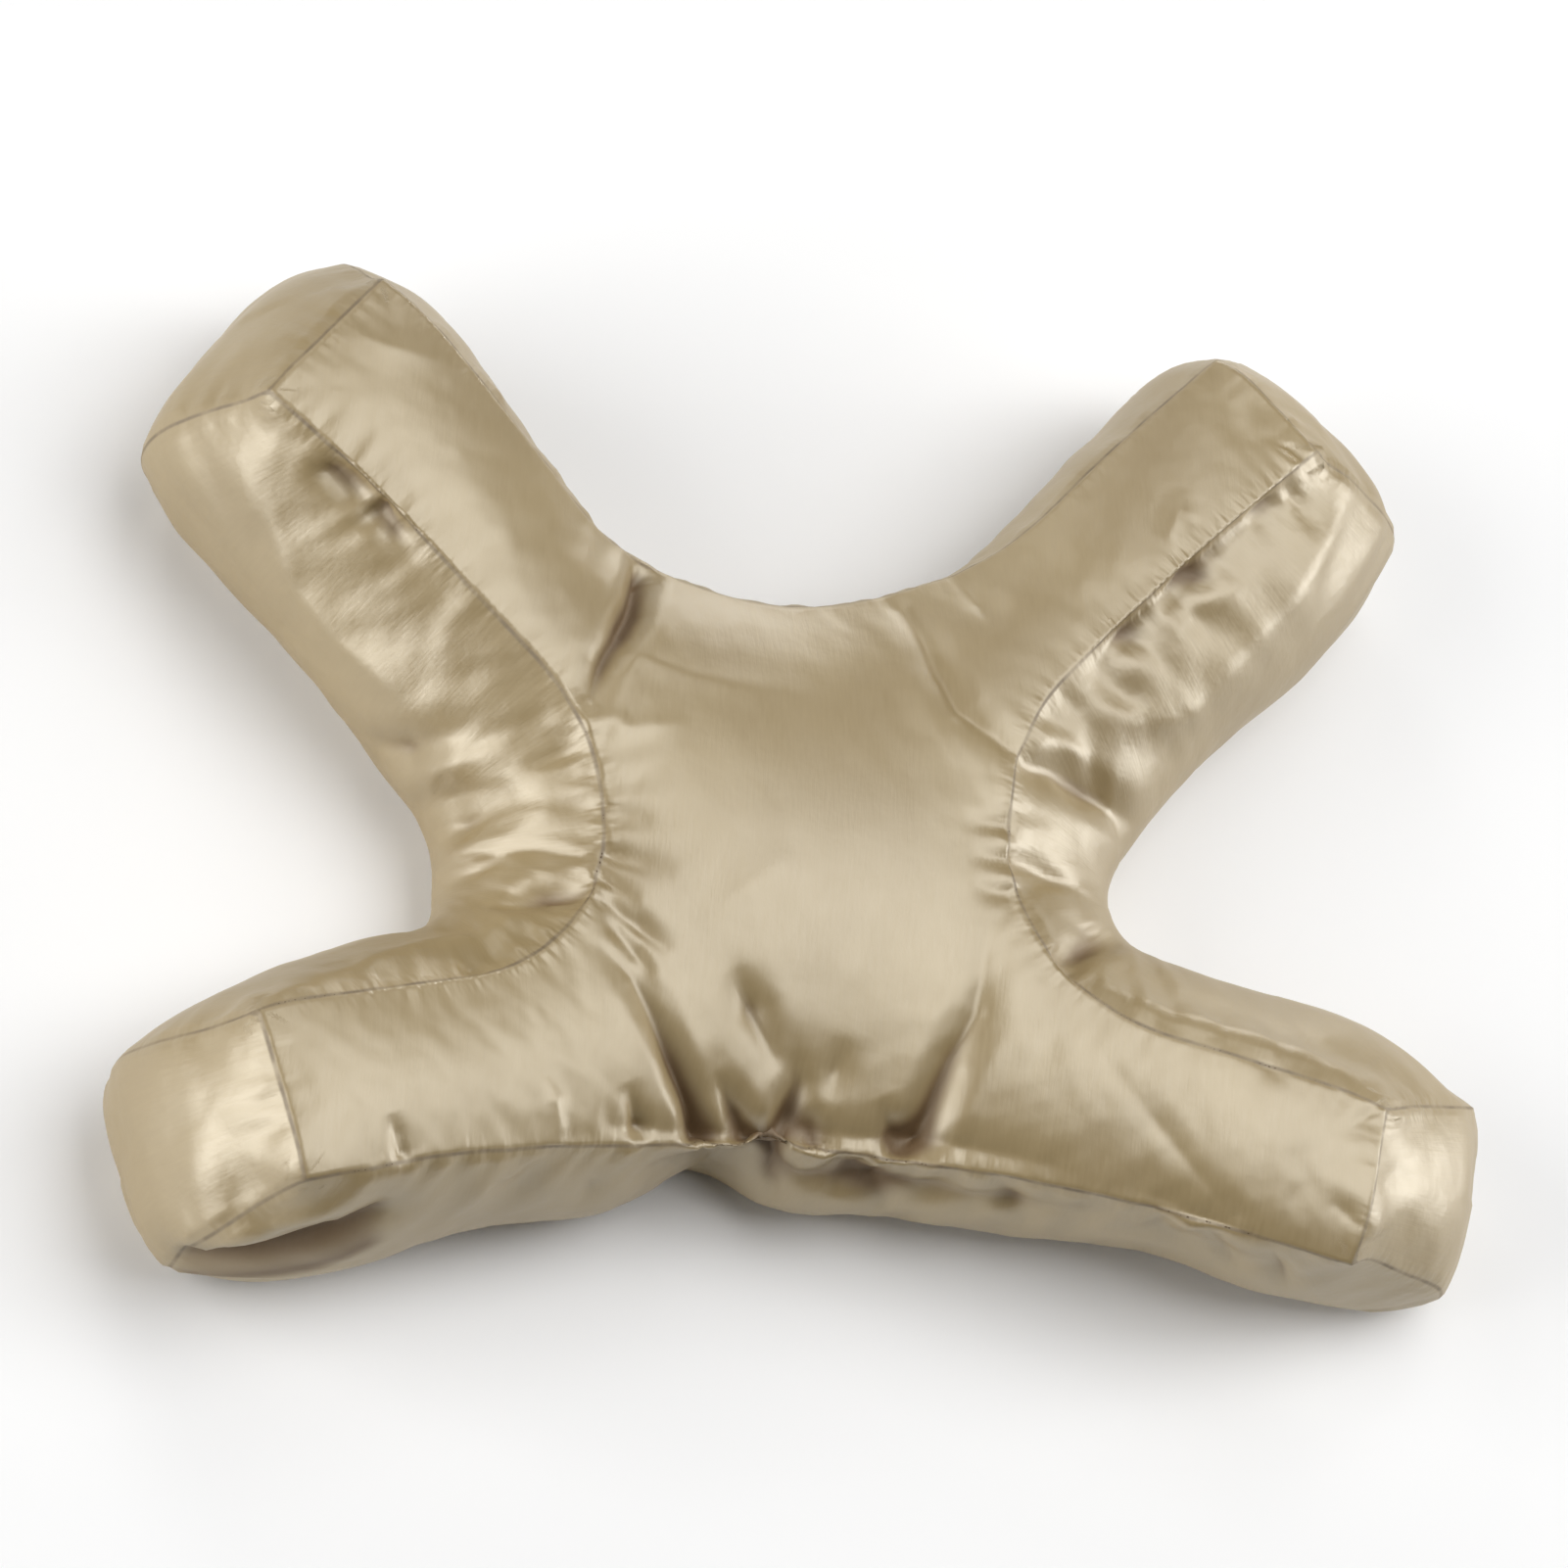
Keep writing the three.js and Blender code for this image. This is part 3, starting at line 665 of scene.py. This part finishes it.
def subdivided(obj):
    modifier = obj.modifiers.new("finer", "SUBSURF")
    modifier.levels = 1
    modifier.render_levels = 1
    bpy.ops.object.select_all(action="DESELECT")
    obj.select_set(True)
    bpy.context.view_layer.objects.active = obj
    bpy.ops.object.modifier_apply(modifier=modifier.name)


def read(items, name, columns=1, kind=float):
    """A property of all of a mesh's vertices, edges, faces or corners, as one array."""
    values = np.empty(len(items) * columns, dtype=kind)
    items.foreach_get(name, values)
    return values


def mesh_points(mesh):
    return read(mesh.vertices, "co", 3).reshape(-1, 3) / MM


def mesh_normals(mesh):
    return read(mesh.vertices, "normal", 3).reshape(-1, 3)


def mesh_quads(mesh):
    return read(mesh.loops, "vertex_index", kind=np.int32).reshape(-1, 4)


def move_points(mesh, points):
    mesh.vertices.foreach_set("co", (points * MM).reshape(-1))
    mesh.update()


def face_panels(mesh):
    return read(mesh.attributes["panel"].data, "value", kind=np.int32)


def corner_panels(mesh):
    return np.repeat(face_panels(mesh), read(mesh.polygons, "loop_total", kind=np.int32))


def between_panels(count, owners, panel):
    """The lowest panel of those that meet at each vertex or edge, and whether it meets another one."""
    least = np.full(count, CAP + len(ARMS))
    most = np.zeros(count, dtype=np.int32)
    np.minimum.at(least, owners, panel)
    np.maximum.at(most, owners, panel)
    return least, least < most


class Panels:
    """The share of each panel at each vertex of the mesh, and so where the seams are."""

    def __init__(self, mesh):
        corners = read(mesh.loops, "vertex_index", kind=np.int32)
        panel = corner_panels(mesh)
        count = len(mesh.vertices)
        faces = np.bincount(corners, minlength=count)

        def share(chosen):
            return np.bincount(corners, weights=chosen.astype(float), minlength=count) / faces

        self.front = share(panel == FRONT)
        self.back = share(panel == BACK)
        self.wall = share(panel >= WALL)
        self.cap = share(panel >= CAP)
        _, self.seam = between_panels(count, corners, panel)
        self.front_seam = self.seam & (self.front > 0)
        self.back_seam = self.seam & (self.back > 0)
        self.cap_seam = self.seam & ~self.front_seam & ~self.back_seam


def place_tree(places):
    tree = kdtree.KDTree(len(places))
    for index, place in enumerate(places):
        tree.insert(place, index)
    tree.balance()
    return tree


def nearest(points, places):
    """Each point's distance from the nearest of the places, and that place's index."""
    tree = place_tree(places)
    found = [tree.find(point) for point in points]
    return np.array([item[2] for item in found]), np.array([item[1] for item in found])


def near_place(points, zone):
    """How much of a zone's effect each point gets: 1 at its place in plan, about a third at its reach."""
    far = np.linalg.norm(points[:, :2] - np.array(zone["at"]), axis=1) / zone["reach"]
    return np.exp(-far * far)


def share_above(points):
    return ease(np.clip(points[:, 2] / FOLD_FADE_HEIGHT, 0, 1))


def raise_seams(mesh):
    points = mesh_points(mesh)
    panels = Panels(mesh)
    lift = np.zeros(len(points))
    for seam, height in ((panels.front_seam, FRONT_RIDGE), (panels.cap_seam, CAP_RIDGE)):
        away, _ = nearest(points, points[seam])
        lift = np.maximum(lift, height * np.exp(-away / RIDGE_REACH))
    lift *= share_above(points)
    move_points(mesh, points + mesh_normals(mesh) * lift[:, None])


def settle_stuffing(mesh):
    points = mesh_points(mesh)
    panels = Panels(mesh)
    away, _ = nearest(points, points[panels.front_seam])
    wall_give = np.where(panels.front > 0, 0, ease(np.clip(away / WALL_GIVE, 0, 1)))
    moved = points.copy()
    for lump in STUFFING:
        share = near_place(points, lump) * (1 if lump.get("front") else wall_give)
        moved[:, :2] += share[:, None] * np.array(lump["push"])
    move_points(mesh, moved)


def panel_fullness(points, panels):
    """How much fuller than the form the cloth is cut at each point, as a share."""
    gathered = np.zeros(len(points))
    for zone in GATHERS:
        gathered = np.maximum(gathered, near_place(points, zone))
    full = FRONT_FULLNESS * panels.front + (WALL_FULLNESS + GATHER_FULLNESS * gathered) * panels.wall
    full = np.where(panels.cap > 0, CAP_FULLNESS, full)
    return np.where(panels.seam, 0, np.minimum(full, MOST_FULLNESS))


def settle_cloth(pillow):
    """Blender's Cloth: pressure fills the panels, cut a little full, between their seams.

    The pillow keeps the size it was cut to: its even swelling is taken off again and the crumples stay.
    """
    mesh = pillow.data
    before = mesh_points(mesh)
    panels = Panels(mesh)
    still = (before[:, 2] < CONTACT_HEIGHT) | panels.seam
    held = pillow.vertex_groups.new(name="held")
    held.add(np.flatnonzero(still).tolist(), 1.0, "REPLACE")
    sewn = pillow.vertex_groups.new(name="sewn")
    for index, share in enumerate(1 - panel_fullness(before, panels) / MOST_FULLNESS):
        sewn.add([index], share, "REPLACE")
    cloth = pillow.modifiers.new("filling", "CLOTH")
    settings = cloth.settings
    settings.quality = CLOTH_QUALITY
    settings.mass = CLOTH_MASS
    settings.tension_stiffness = CLOTH_STIFFNESS
    settings.compression_stiffness = CLOTH_STIFFNESS
    settings.shear_stiffness = CLOTH_SHEAR
    settings.bending_stiffness = CLOTH_BENDING
    settings.use_pressure = True
    settings.uniform_pressure_force = CLOTH_PRESSURE
    settings.vertex_group_mass = held.name
    settings.vertex_group_shrink = sewn.name
    settings.shrink_min = -MOST_FULLNESS
    settings.shrink_max = 0.0
    settings.effector_weights.gravity = 0
    cloth.collision_settings.use_collision = False
    cloth.point_cache.frame_start = 1
    cloth.point_cache.frame_end = CLOTH_FRAMES
    scene = bpy.context.scene
    for number in range(1, CLOTH_FRAMES + 1):
        scene.frame_set(number)
    settled = pillow.evaluated_get(bpy.context.evaluated_depsgraph_get()).to_mesh()
    move = mesh_points(settled) - before
    pillow.evaluated_get(bpy.context.evaluated_depsgraph_get()).to_mesh_clear()
    pillow.modifiers.remove(cloth)
    pillow.vertex_groups.clear()
    scene.frame_set(1)
    size = np.linalg.norm(move, axis=1, keepdims=True)
    move *= np.minimum(1, CLOTH_MOST_MOVE / np.maximum(size, TINY))
    swelling = move
    for _ in range(EVEN_PASSES):
        swelling = neighbour_means(swelling, mesh_quads(mesh))
        swelling[still] = 0
    move_points(mesh, before + move - swelling)


def select_faces(mesh, chosen):
    """Enters edit mode on the active object with only the chosen faces selected."""
    bpy.ops.object.mode_set(mode="EDIT")
    bpy.ops.mesh.select_mode(type="FACE")
    bpy.ops.mesh.select_all(action="DESELECT")
    bpy.ops.object.mode_set(mode="OBJECT")
    mesh.polygons.foreach_set("select", chosen)
    bpy.ops.object.mode_set(mode="EDIT")


def refine_front(pillow):
    """Halves the front panel's cells once more, because most of the sharp folds are there."""
    select_faces(pillow.data, face_panels(pillow.data) == FRONT)
    bpy.ops.mesh.subdivide(number_cuts=1, smoothness=1.0)
    bpy.ops.object.mode_set(mode="OBJECT")


def line_share(points, line):
    """Each point's distance from a line of several stretches, and how far along it the nearest place is."""
    line = np.array(line, dtype=float)
    lengths = np.linalg.norm(np.diff(line, axis=0), axis=1)
    starts = np.concatenate(([0], np.cumsum(lengths)))
    best = np.full(len(points), np.inf)
    along = np.zeros(len(points))
    for number, length in enumerate(lengths):
        step = line[number + 1] - line[number]
        share = np.clip((points - line[number]) @ step / length ** 2, 0, 1)
        away = np.linalg.norm(points - line[number] - share[:, None] * step, axis=1)
        closer = away < best
        best[closer] = away[closer]
        along[closer] = (starts[number] + share[closer] * length) / starts[-1]
    return best, along


def fold_profile(away, width):
    """A crease across its line: 1 in the line, with a low bank on either side."""
    far = (np.hypot(away, FOLD_CORE) - FOLD_CORE) / width
    bank = FOLD_BANK * np.exp(-((far - FOLD_BANK_AT) / FOLD_BANK_WIDTH) ** 2)
    return np.exp(-FOLD_STEEPNESS * far) - bank


def press_folds(mesh):
    points = mesh_points(mesh)
    panels = Panels(mesh)
    tree = place_tree(points)
    sink = np.zeros(len(points))
    shade = np.zeros(len(points))
    for folds, side in ((FRONT_FOLDS, panels.front), (WALL_FOLDS, panels.wall), (SEAM_FOLDS, 1)):
        for name, width, depths, line in folds:
            places = [tree.find(place)[1] for place in line]
            away, along = line_share(points, points[places])
            share = fold_profile(away, width) * side
            sink += np.interp(along, (0, 0.5, 1), depths) * share
            shade += FOLD_SHADES.get(name, 0) * share
    # Each fold's depth, plus the extra painted shade of folds that turn away from the light, is kept for the
    # satin's painted shade.
    mark_points(mesh, "in_fold", np.maximum(sink + shade, 0))
    press = FOLD_PRESS * sink * share_above(points)
    move_points(mesh, points - mesh_normals(mesh) * press[:, None])


def soft_noise(places, seed):
    start = Vector((seed, seed * SEED_STEP, -seed))
    return np.array([noise.noise(Vector(place) + start) for place in places])


def seam_runs(mesh):
    """The seams that show, as runs of vertices from one corner of the panels to the next."""
    edges = read(mesh.loops, "edge_index", kind=np.int32)
    least, seam = between_panels(len(mesh.edges), edges, corner_panels(mesh))
    beside = {}
    for index in np.flatnonzero(seam & (least != BACK)):
        a, b = mesh.edges[int(index)].vertices
        beside.setdefault(a, []).append(b)
        beside.setdefault(b, []).append(a)
    runs = []
    for corner in sorted(vertex for vertex in beside if len(beside[vertex]) != 2):
        for step in beside[corner]:
            run = [corner, step]
            while len(beside[run[-1]]) == 2:
                run.append(next(vertex for vertex in beside[run[-1]] if vertex != run[-2]))
            if run[0] < run[-1]:
                runs.append(run)
    return runs


class SeamFrame:
    """Where each vertex lies from the nearest seam: how far away, how far along that seam's run, and how
    far from the run's nearer end."""

    def __init__(self, mesh):
        points = mesh_points(mesh)
        places = []
        travels = []
        tangents = []
        ends = []
        start = 0.0
        for run in seam_runs(mesh):
            line = points[run]
            lengths = np.linalg.norm(np.diff(line, axis=0), axis=1)
            tangent = np.gradient(line, axis=0)
            travel = np.concatenate(([0], np.cumsum(lengths)))
            places.append(line)
            travels.append(start + travel)
            ends.append(np.minimum(travel, travel[-1] - travel))
            tangents.append(tangent / np.linalg.norm(tangent, axis=1, keepdims=True))
            start += travel[-1] + RUN_APART
        places = np.concatenate(places)
        self.away, index = nearest(points, places)
        self.foot = places[index]
        self.to_end = np.concatenate(ends)[index]
        past = np.sum((points - self.foot) * np.concatenate(tangents)[index], axis=1)
        self.along = np.concatenate(travels)[index] + past


def streaks(seam, pitch, slant, length, seed):
    """Noise in streaks that run out from the seams."""
    across = (seam.along + slant * seam.away) / pitch
    return soft_noise(np.column_stack((across, seam.away / length, np.zeros(len(across)))), seed)


def zone_heights(seam, base, column):
    height = np.full(len(seam.away), base)
    for zone in GATHERS:
        height += zone[column] * near_place(seam.foot, zone)
    return height


def gather_seams(mesh):
    """Small gathers that run out from the seams, drag lines down the walls, and the seams' groove."""
    points = mesh_points(mesh)
    panels = Panels(mesh)
    seam = SeamFrame(mesh)
    free = 1 - np.exp(-seam.away / GATHER_START)
    front = streaks(seam, GATHER_PITCH, 0, GATHER_LENGTH_FRONT, FRONT_GATHER_SEED)
    front = front * zone_heights(seam, GATHER_FRONT, "front")
    wall = streaks(seam, GATHER_PITCH, GATHER_SLANT, GATHER_LENGTH_WALL, WALL_GATHER_SEED)
    wall = wall * zone_heights(seam, GATHER_WALL, "wall")
    push = (front * panels.front + wall * panels.wall) * np.exp(-seam.away / GATHER_REACH) * free
    drag = DRAG_HEIGHT * streaks(seam, DRAG_PITCH, DRAG_SLANT, DRAG_LENGTH, DRAG_SEED) * panels.wall
    push += drag * np.exp(-(seam.away / DRAG_REACH) ** 2) * free
    push -= SEAM_GROOVE * np.exp(-(seam.away / SEAM_GROOVE_WIDTH) ** 2)
    move_points(mesh, points + mesh_normals(mesh) * (push * share_above(points))[:, None])


def lump_walls(mesh):
    points = mesh_points(mesh)
    panels = Panels(mesh)
    away, _ = nearest(points, points[panels.front_seam])
    share = panels.wall * ease(np.clip(away / LUMP_START, 0, 1)) * share_above(points)
    lumps = soft_noise(points / LUMP_PITCH, LUMP_SEED)
    small_lumps = soft_noise(points / LUMP_PITCH * SMALL_LUMPS, SMALL_LUMP_SEED)
    push = LUMP_HEIGHT * (lumps + SMALL_LUMP_HEIGHT * small_lumps)
    move_points(mesh, points + mesh_normals(mesh) * (push * share)[:, None])


def mark_points(mesh, name, values):
    """Keeps a length in mm at each vertex for the satin."""
    mark = mesh.attributes.new(name, "FLOAT", "POINT")
    mark.data.foreach_set("value", values)


def mark_seams(mesh):
    seam = SeamFrame(mesh)
    mark_points(mesh, "from_seam", seam.away)
    mark_points(mesh, "along_seam", seam.along)
    calm = PUCKER_HEIGHT * ease(np.clip(seam.to_end / PUCKER_END, 0, 1)) * share_above(mesh_points(mesh))
    mark_points(mesh, "pucker", calm * np.minimum(zone_heights(seam, PUCKER_LEAST, "wall") / PUCKER_ZONE, 1))


def model_stitch():
    """One stitch along X, in mm, its ends thinner and dipped into the cloth: points and faces."""
    bpy.ops.object.select_all(action="DESELECT")
    bpy.ops.mesh.primitive_cylinder_add(
        vertices=STITCH_SIDES, radius=STITCH_MIDDLE / 2, depth=STITCH_STRAIGHT)
    mesh = bpy.context.active_object.data
    mesh.transform(Matrix.Rotation(math.radians(90), 4, "Y"))
    reach = (STITCH_LENGTH - STITCH_STRAIGHT) / 2
    for end in (-1, 1):
        select_faces(mesh, [face.normal.x * end > END_FACING for face in mesh.polygons])
        bpy.ops.mesh.extrude_region_move(TRANSFORM_OT_translate={"value": (end * reach, 0, -STITCH_DIP)})
        bpy.ops.transform.resize(value=(1, STITCH_END / STITCH_MIDDLE, STITCH_END / STITCH_MIDDLE),
                                 center_override=(end * STITCH_LENGTH / 2, 0, -STITCH_DIP))
        bpy.ops.object.mode_set(mode="OBJECT")
    points = read(mesh.vertices, "co", 3).reshape(-1, 3)
    faces = [tuple(face.vertices) for face in mesh.polygons]
    bpy.data.meshes.remove(mesh)
    return points, faces


def sew_stitches(mesh):
    """The stitches of every seam that shows, as one piece of thread."""
    points = mesh_points(mesh)
    normals = mesh_normals(mesh)
    shape, shape_faces = model_stitch()
    placed = []
    faces = []
    for run in seam_runs(mesh):
        line = points[run]
        travel = np.concatenate(([0], np.cumsum(np.linalg.norm(np.diff(line, axis=0), axis=1))))
        for middle in np.arange(STITCH_PITCH, travel[-1] - STITCH_PITCH / 2, STITCH_PITCH):
            spots = middle + STITCH_LENGTH * np.array((-0.5, 0, 0.5))
            first, here, last = np.column_stack([np.interp(spots, travel, column) for column in line.T])
            if here[2] < STITCH_LOWEST:
                continue
            along = (last - first) / np.linalg.norm(last - first)
            up = normals[run[int(np.searchsorted(travel, middle))]]
            up = up - along * (up @ along)
            up = up / np.linalg.norm(up)
            side = np.cross(up, along)
            start = len(placed) * len(shape)
            placed.append(here + up * STITCH_RISE + shape @ np.array((along, side, up)))
            faces.extend(tuple(start + corner for corner in face) for face in shape_faces)
    thread = bpy.data.meshes.new("seam_stitches")
    thread.from_pydata((np.concatenate(placed) * MM).tolist(), [], faces)
    thread.shade_smooth()
    stitches = bpy.data.objects.new("seam_stitches", thread)
    bpy.context.collection.objects.link(stitches)
    return stitches


def make_pillow():
    cover = sew_cover()
    pillow = bpy.data.objects.new("satin_pillow", cover_mesh(cover, fill_cover(cover), "satin_pillow"))
    bpy.context.collection.objects.link(pillow)
    mesh = pillow.data
    subdivided(pillow)
    raise_seams(mesh)
    settle_stuffing(mesh)
    settle_cloth(pillow)
    subdivided(pillow)
    refine_front(pillow)
    press_folds(mesh)
    lump_walls(mesh)
    gather_seams(mesh)
    points = mesh_points(mesh)
    points[points[:, 2] < CONTACT_HEIGHT, 2] = 0
    move_points(mesh, points - np.array((*PLAN_MIDDLE, 0)))
    mark_seams(mesh)
    mesh.shade_smooth()
    return pillow


class Nodes:
    """A material's nodes, added and linked by short calls."""

    def __init__(self, name):
        self.material = bpy.data.materials.new(name)
        self.material.use_nodes = True
        self.tree = self.material.node_tree
        self.shader = self.tree.nodes["Principled BSDF"]

    def put(self, socket, value):
        if isinstance(value, bpy.types.NodeSocket):
            self.tree.links.new(value, socket)
        else:
            socket.default_value = value

    def attribute(self, name):
        node = self.tree.nodes.new("ShaderNodeAttribute")
        node.attribute_name = name
        return node.outputs["Fac"]

    def math(self, operation, a, b=0.0):
        node = self.tree.nodes.new("ShaderNodeMath")
        node.operation = operation
        self.put(node.inputs[0], a)
        self.put(node.inputs[1], b)
        return node.outputs["Value"]

    def fade(self, value, start, end, first, last):
        node = self.tree.nodes.new("ShaderNodeMapRange")
        node.interpolation_type = "SMOOTHSTEP"
        self.put(node.inputs["Value"], value)
        self.put(node.inputs["From Min"], start)
        self.put(node.inputs["From Max"], end)
        self.put(node.inputs["To Min"], first)
        self.put(node.inputs["To Max"], last)
        return node.outputs["Result"]

    def vector(self, x, y):
        node = self.tree.nodes.new("ShaderNodeCombineXYZ")
        self.put(node.inputs["X"], x)
        self.put(node.inputs["Y"], y)
        return node.outputs["Vector"]

    def stretched(self, vector, scale):
        node = self.tree.nodes.new("ShaderNodeMapping")
        self.put(node.inputs["Vector"], vector)
        self.put(node.inputs["Scale"], scale)
        return node.outputs["Vector"]

    def noise(self, vector, scale, detail):
        """Noise between about -0.5 and 0.5."""
        node = self.tree.nodes.new("ShaderNodeTexNoise")
        self.put(node.inputs["Vector"], vector)
        self.put(node.inputs["Scale"], scale)
        self.put(node.inputs["Detail"], detail)
        return self.math("SUBTRACT", node.outputs["Fac"], 0.5)

    def blend(self, share, first, last):
        node = self.tree.nodes.new("ShaderNodeMix")
        node.data_type = "RGBA"
        factor, a, b = (next(socket for socket in node.inputs if socket.identifier == name)
                        for name in ("Factor_Float", "A_Color", "B_Color"))
        self.put(factor, share)
        self.put(a, first)
        self.put(b, last)
        return next(socket for socket in node.outputs if socket.identifier == "Result_Color")

    def cloth(self):
        node = self.tree.nodes.new("ShaderNodeUVMap")
        node.uv_map = "cloth"
        return node.outputs["UV"]

    def place(self):
        return self.tree.nodes.new("ShaderNodeTexCoord").outputs["Object"]

    def bump(self, height):
        """Bump from a height in metres."""
        node = self.tree.nodes.new("ShaderNodeBump")
        node.inputs["Strength"].default_value = 1.0
        node.inputs["Distance"].default_value = 1.0
        self.put(node.inputs["Height"], height)
        self.put(self.shader.inputs["Normal"], node.outputs["Normal"])


def satin_material():
    satin = Nodes("champagne_satin")
    shader = satin.shader
    shader.inputs["IOR"].default_value = SATIN_IOR
    shader.inputs["Specular Tint"].default_value = SATIN_GLOSS
    shader.inputs["Sheen Weight"].default_value = SATIN_SHEEN
    shader.inputs["Sheen Roughness"].default_value = SATIN_SHEEN_ROUGHNESS
    shader.inputs["Sheen Tint"].default_value = SATIN_LIGHT
    away = satin.attribute("from_seam")
    on_wall = satin.math("GREATER_THAN", satin.attribute("panel"), BACK)
    threads = satin.noise(satin.stretched(satin.cloth(), (THREADS_ACROSS, THREADS_ALONG, 1)), 1, detail=2)
    crinkles = satin.noise(satin.place(), CRINKLES, detail=3)
    dye = satin.noise(satin.place(), DYE_PATCHES, detail=2)
    tone = satin.math("ADD", dye, satin.math("MULTIPLY", threads, THREAD_TONE))
    tone = satin.fade(tone, -SATIN_SPREAD, SATIN_SPREAD, 0, 1)
    colour = satin.blend(tone, SATIN_DARK, SATIN_LIGHT)
    # Painted shade: the satin's colour darkens towards the fold shade colour in deep folds and where a fold
    # turns away from the light.
    in_fold = satin.fade(satin.attribute("in_fold"), FOLD_SHADE_FROM, FOLD_SHADE_DEPTH, 0, FOLD_SHADE)
    # Painted shade along the seam line's groove, uneven along the seam.
    uneven = satin.noise(satin.place(), SEAM_CHANGES, detail=2)
    uneven = satin.fade(uneven, -SEAM_SPREAD, SEAM_SPREAD, SEAM_LINE_LEAST, 1)
    painted_seam_shade = satin.fade(away, SEAM_LINE_CORE, SEAM_LINE_WIDTH, SEAM_LINE_SHADE, 0)
    painted_seam_shade = satin.math("MULTIPLY", painted_seam_shade, uneven)
    colour = satin.blend(in_fold, colour, FOLD_PAINTED_SHADE_COLOUR)
    colour = satin.blend(painted_seam_shade, colour, SEAM_PAINTED_SHADE_COLOUR)
    satin.put(shader.inputs["Base Color"], colour)
    rough = satin.math("MULTIPLY", threads, THREADS_ROUGHEN)
    rough = satin.math("ADD", rough, satin.math("MULTIPLY", crinkles, CRINKLES_ROUGHEN))
    dull = satin.math("MULTIPLY", satin.math("MAXIMUM", in_fold, painted_seam_shade), FOLD_ROUGHNESS)
    rough = satin.math("ADD", rough, dull)
    satin.put(shader.inputs["Roughness"], satin.math("ADD", rough, SATIN_ROUGHNESS))
    along = satin.math("ADD", satin.attribute("along_seam"), satin.math("MULTIPLY", dye, PUCKER_WANDER))
    along = satin.math("DIVIDE", along, PUCKER_PITCH)
    puckers = satin.noise(satin.vector(along, satin.math("DIVIDE", away, PUCKER_LENGTH)), 1, detail=1)
    near_seam = satin.fade(away, 0, PUCKER_REACH, MM, 0)
    height = satin.math("MULTIPLY", puckers, satin.math("MULTIPLY", satin.attribute("pucker"), near_seam))
    crinkle_height = satin.fade(on_wall, 0, 1, CRINKLE_FRONT * MM, CRINKLE_WALL * MM)
    height = satin.math("ADD", height, satin.math("MULTIPLY", crinkles, crinkle_height))
    height = satin.math("ADD", height, satin.math("MULTIPLY", threads, THREAD_HEIGHT * MM))
    satin.bump(height)
    return satin.material


def thread_material():
    thread = Nodes("seam_thread")
    tone = thread.noise(thread.place(), THREAD_CHANGES, detail=2)
    tone = thread.fade(tone, -SEAM_SPREAD, SEAM_SPREAD, 0, 1)
    thread.put(thread.shader.inputs["Base Color"], thread.blend(tone, THREAD_DARK, THREAD_LIGHT))
    thread.shader.inputs["Roughness"].default_value = THREAD_ROUGHNESS
    thread.shader.inputs["IOR"].default_value = THREAD_IOR
    return thread.material


def add_floor():
    bpy.ops.object.select_all(action="DESELECT")
    bpy.ops.mesh.primitive_plane_add(size=FLOOR_SIZE)
    floor = bpy.context.active_object
    floor.name = "floor"
    floor.data.name = "floor"
    pale = Nodes("pale_floor")
    pale.shader.inputs["Base Color"].default_value = FLOOR_COLOUR
    pale.shader.inputs["Roughness"].default_value = FLOOR_ROUGHNESS
    floor.data.materials.append(pale.material)


def add_camera():
    data = bpy.data.cameras.new("camera")
    data.lens = CAMERA_LENS
    data.sensor_width = SENSOR_WIDTH
    camera = bpy.data.objects.new("camera", data)
    look = Vector(CAMERA_LOOK).normalized()
    right = look.cross(Vector(CAMERA_UP)).normalized()
    up = right.cross(look)
    turn = Matrix((right, up, -look)).transposed().to_4x4()
    camera.matrix_world = Matrix.Translation(Vector(CAMERA_AT) * MM) @ turn
    bpy.context.collection.objects.link(camera)
    bpy.context.scene.camera = camera


def add_softbox(name, azimuth, elevation, width, height, power):
    """A flat light that faces the pillow. Azimuth runs from +X towards +Y, in degrees."""
    data = bpy.data.lights.new(name, "AREA")
    data.shape = "RECTANGLE"
    data.size = width
    data.size_y = height
    data.energy = power
    light = bpy.data.objects.new(name, data)
    turn = math.radians(azimuth)
    rise = math.radians(elevation)
    towards = Vector((math.cos(turn) * math.cos(rise), math.sin(turn) * math.cos(rise), math.sin(rise)))
    light.location = towards * LIGHT_DISTANCE
    light.rotation_euler = towards.to_track_quat("Z", "Y").to_euler()
    bpy.context.collection.objects.link(light)


def add_lights():
    world = bpy.data.worlds.new("studio")
    world.use_nodes = True
    background = world.node_tree.nodes["Background"]
    background.inputs["Color"].default_value = WORLD_COLOUR
    background.inputs["Strength"].default_value = WORLD_STRENGTH
    bpy.context.scene.world = world
    for softbox in SOFTBOXES:
        add_softbox(**softbox)
    bpy.context.scene.view_settings.view_transform = "Standard"


pillow = make_pillow()
pillow.data.materials.append(satin_material())
stitches = sew_stitches(pillow.data)
stitches.data.materials.append(thread_material())
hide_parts("pillow")
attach(pillow, "root")
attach(stitches, "root")
add_floor()
add_lights()
add_camera()
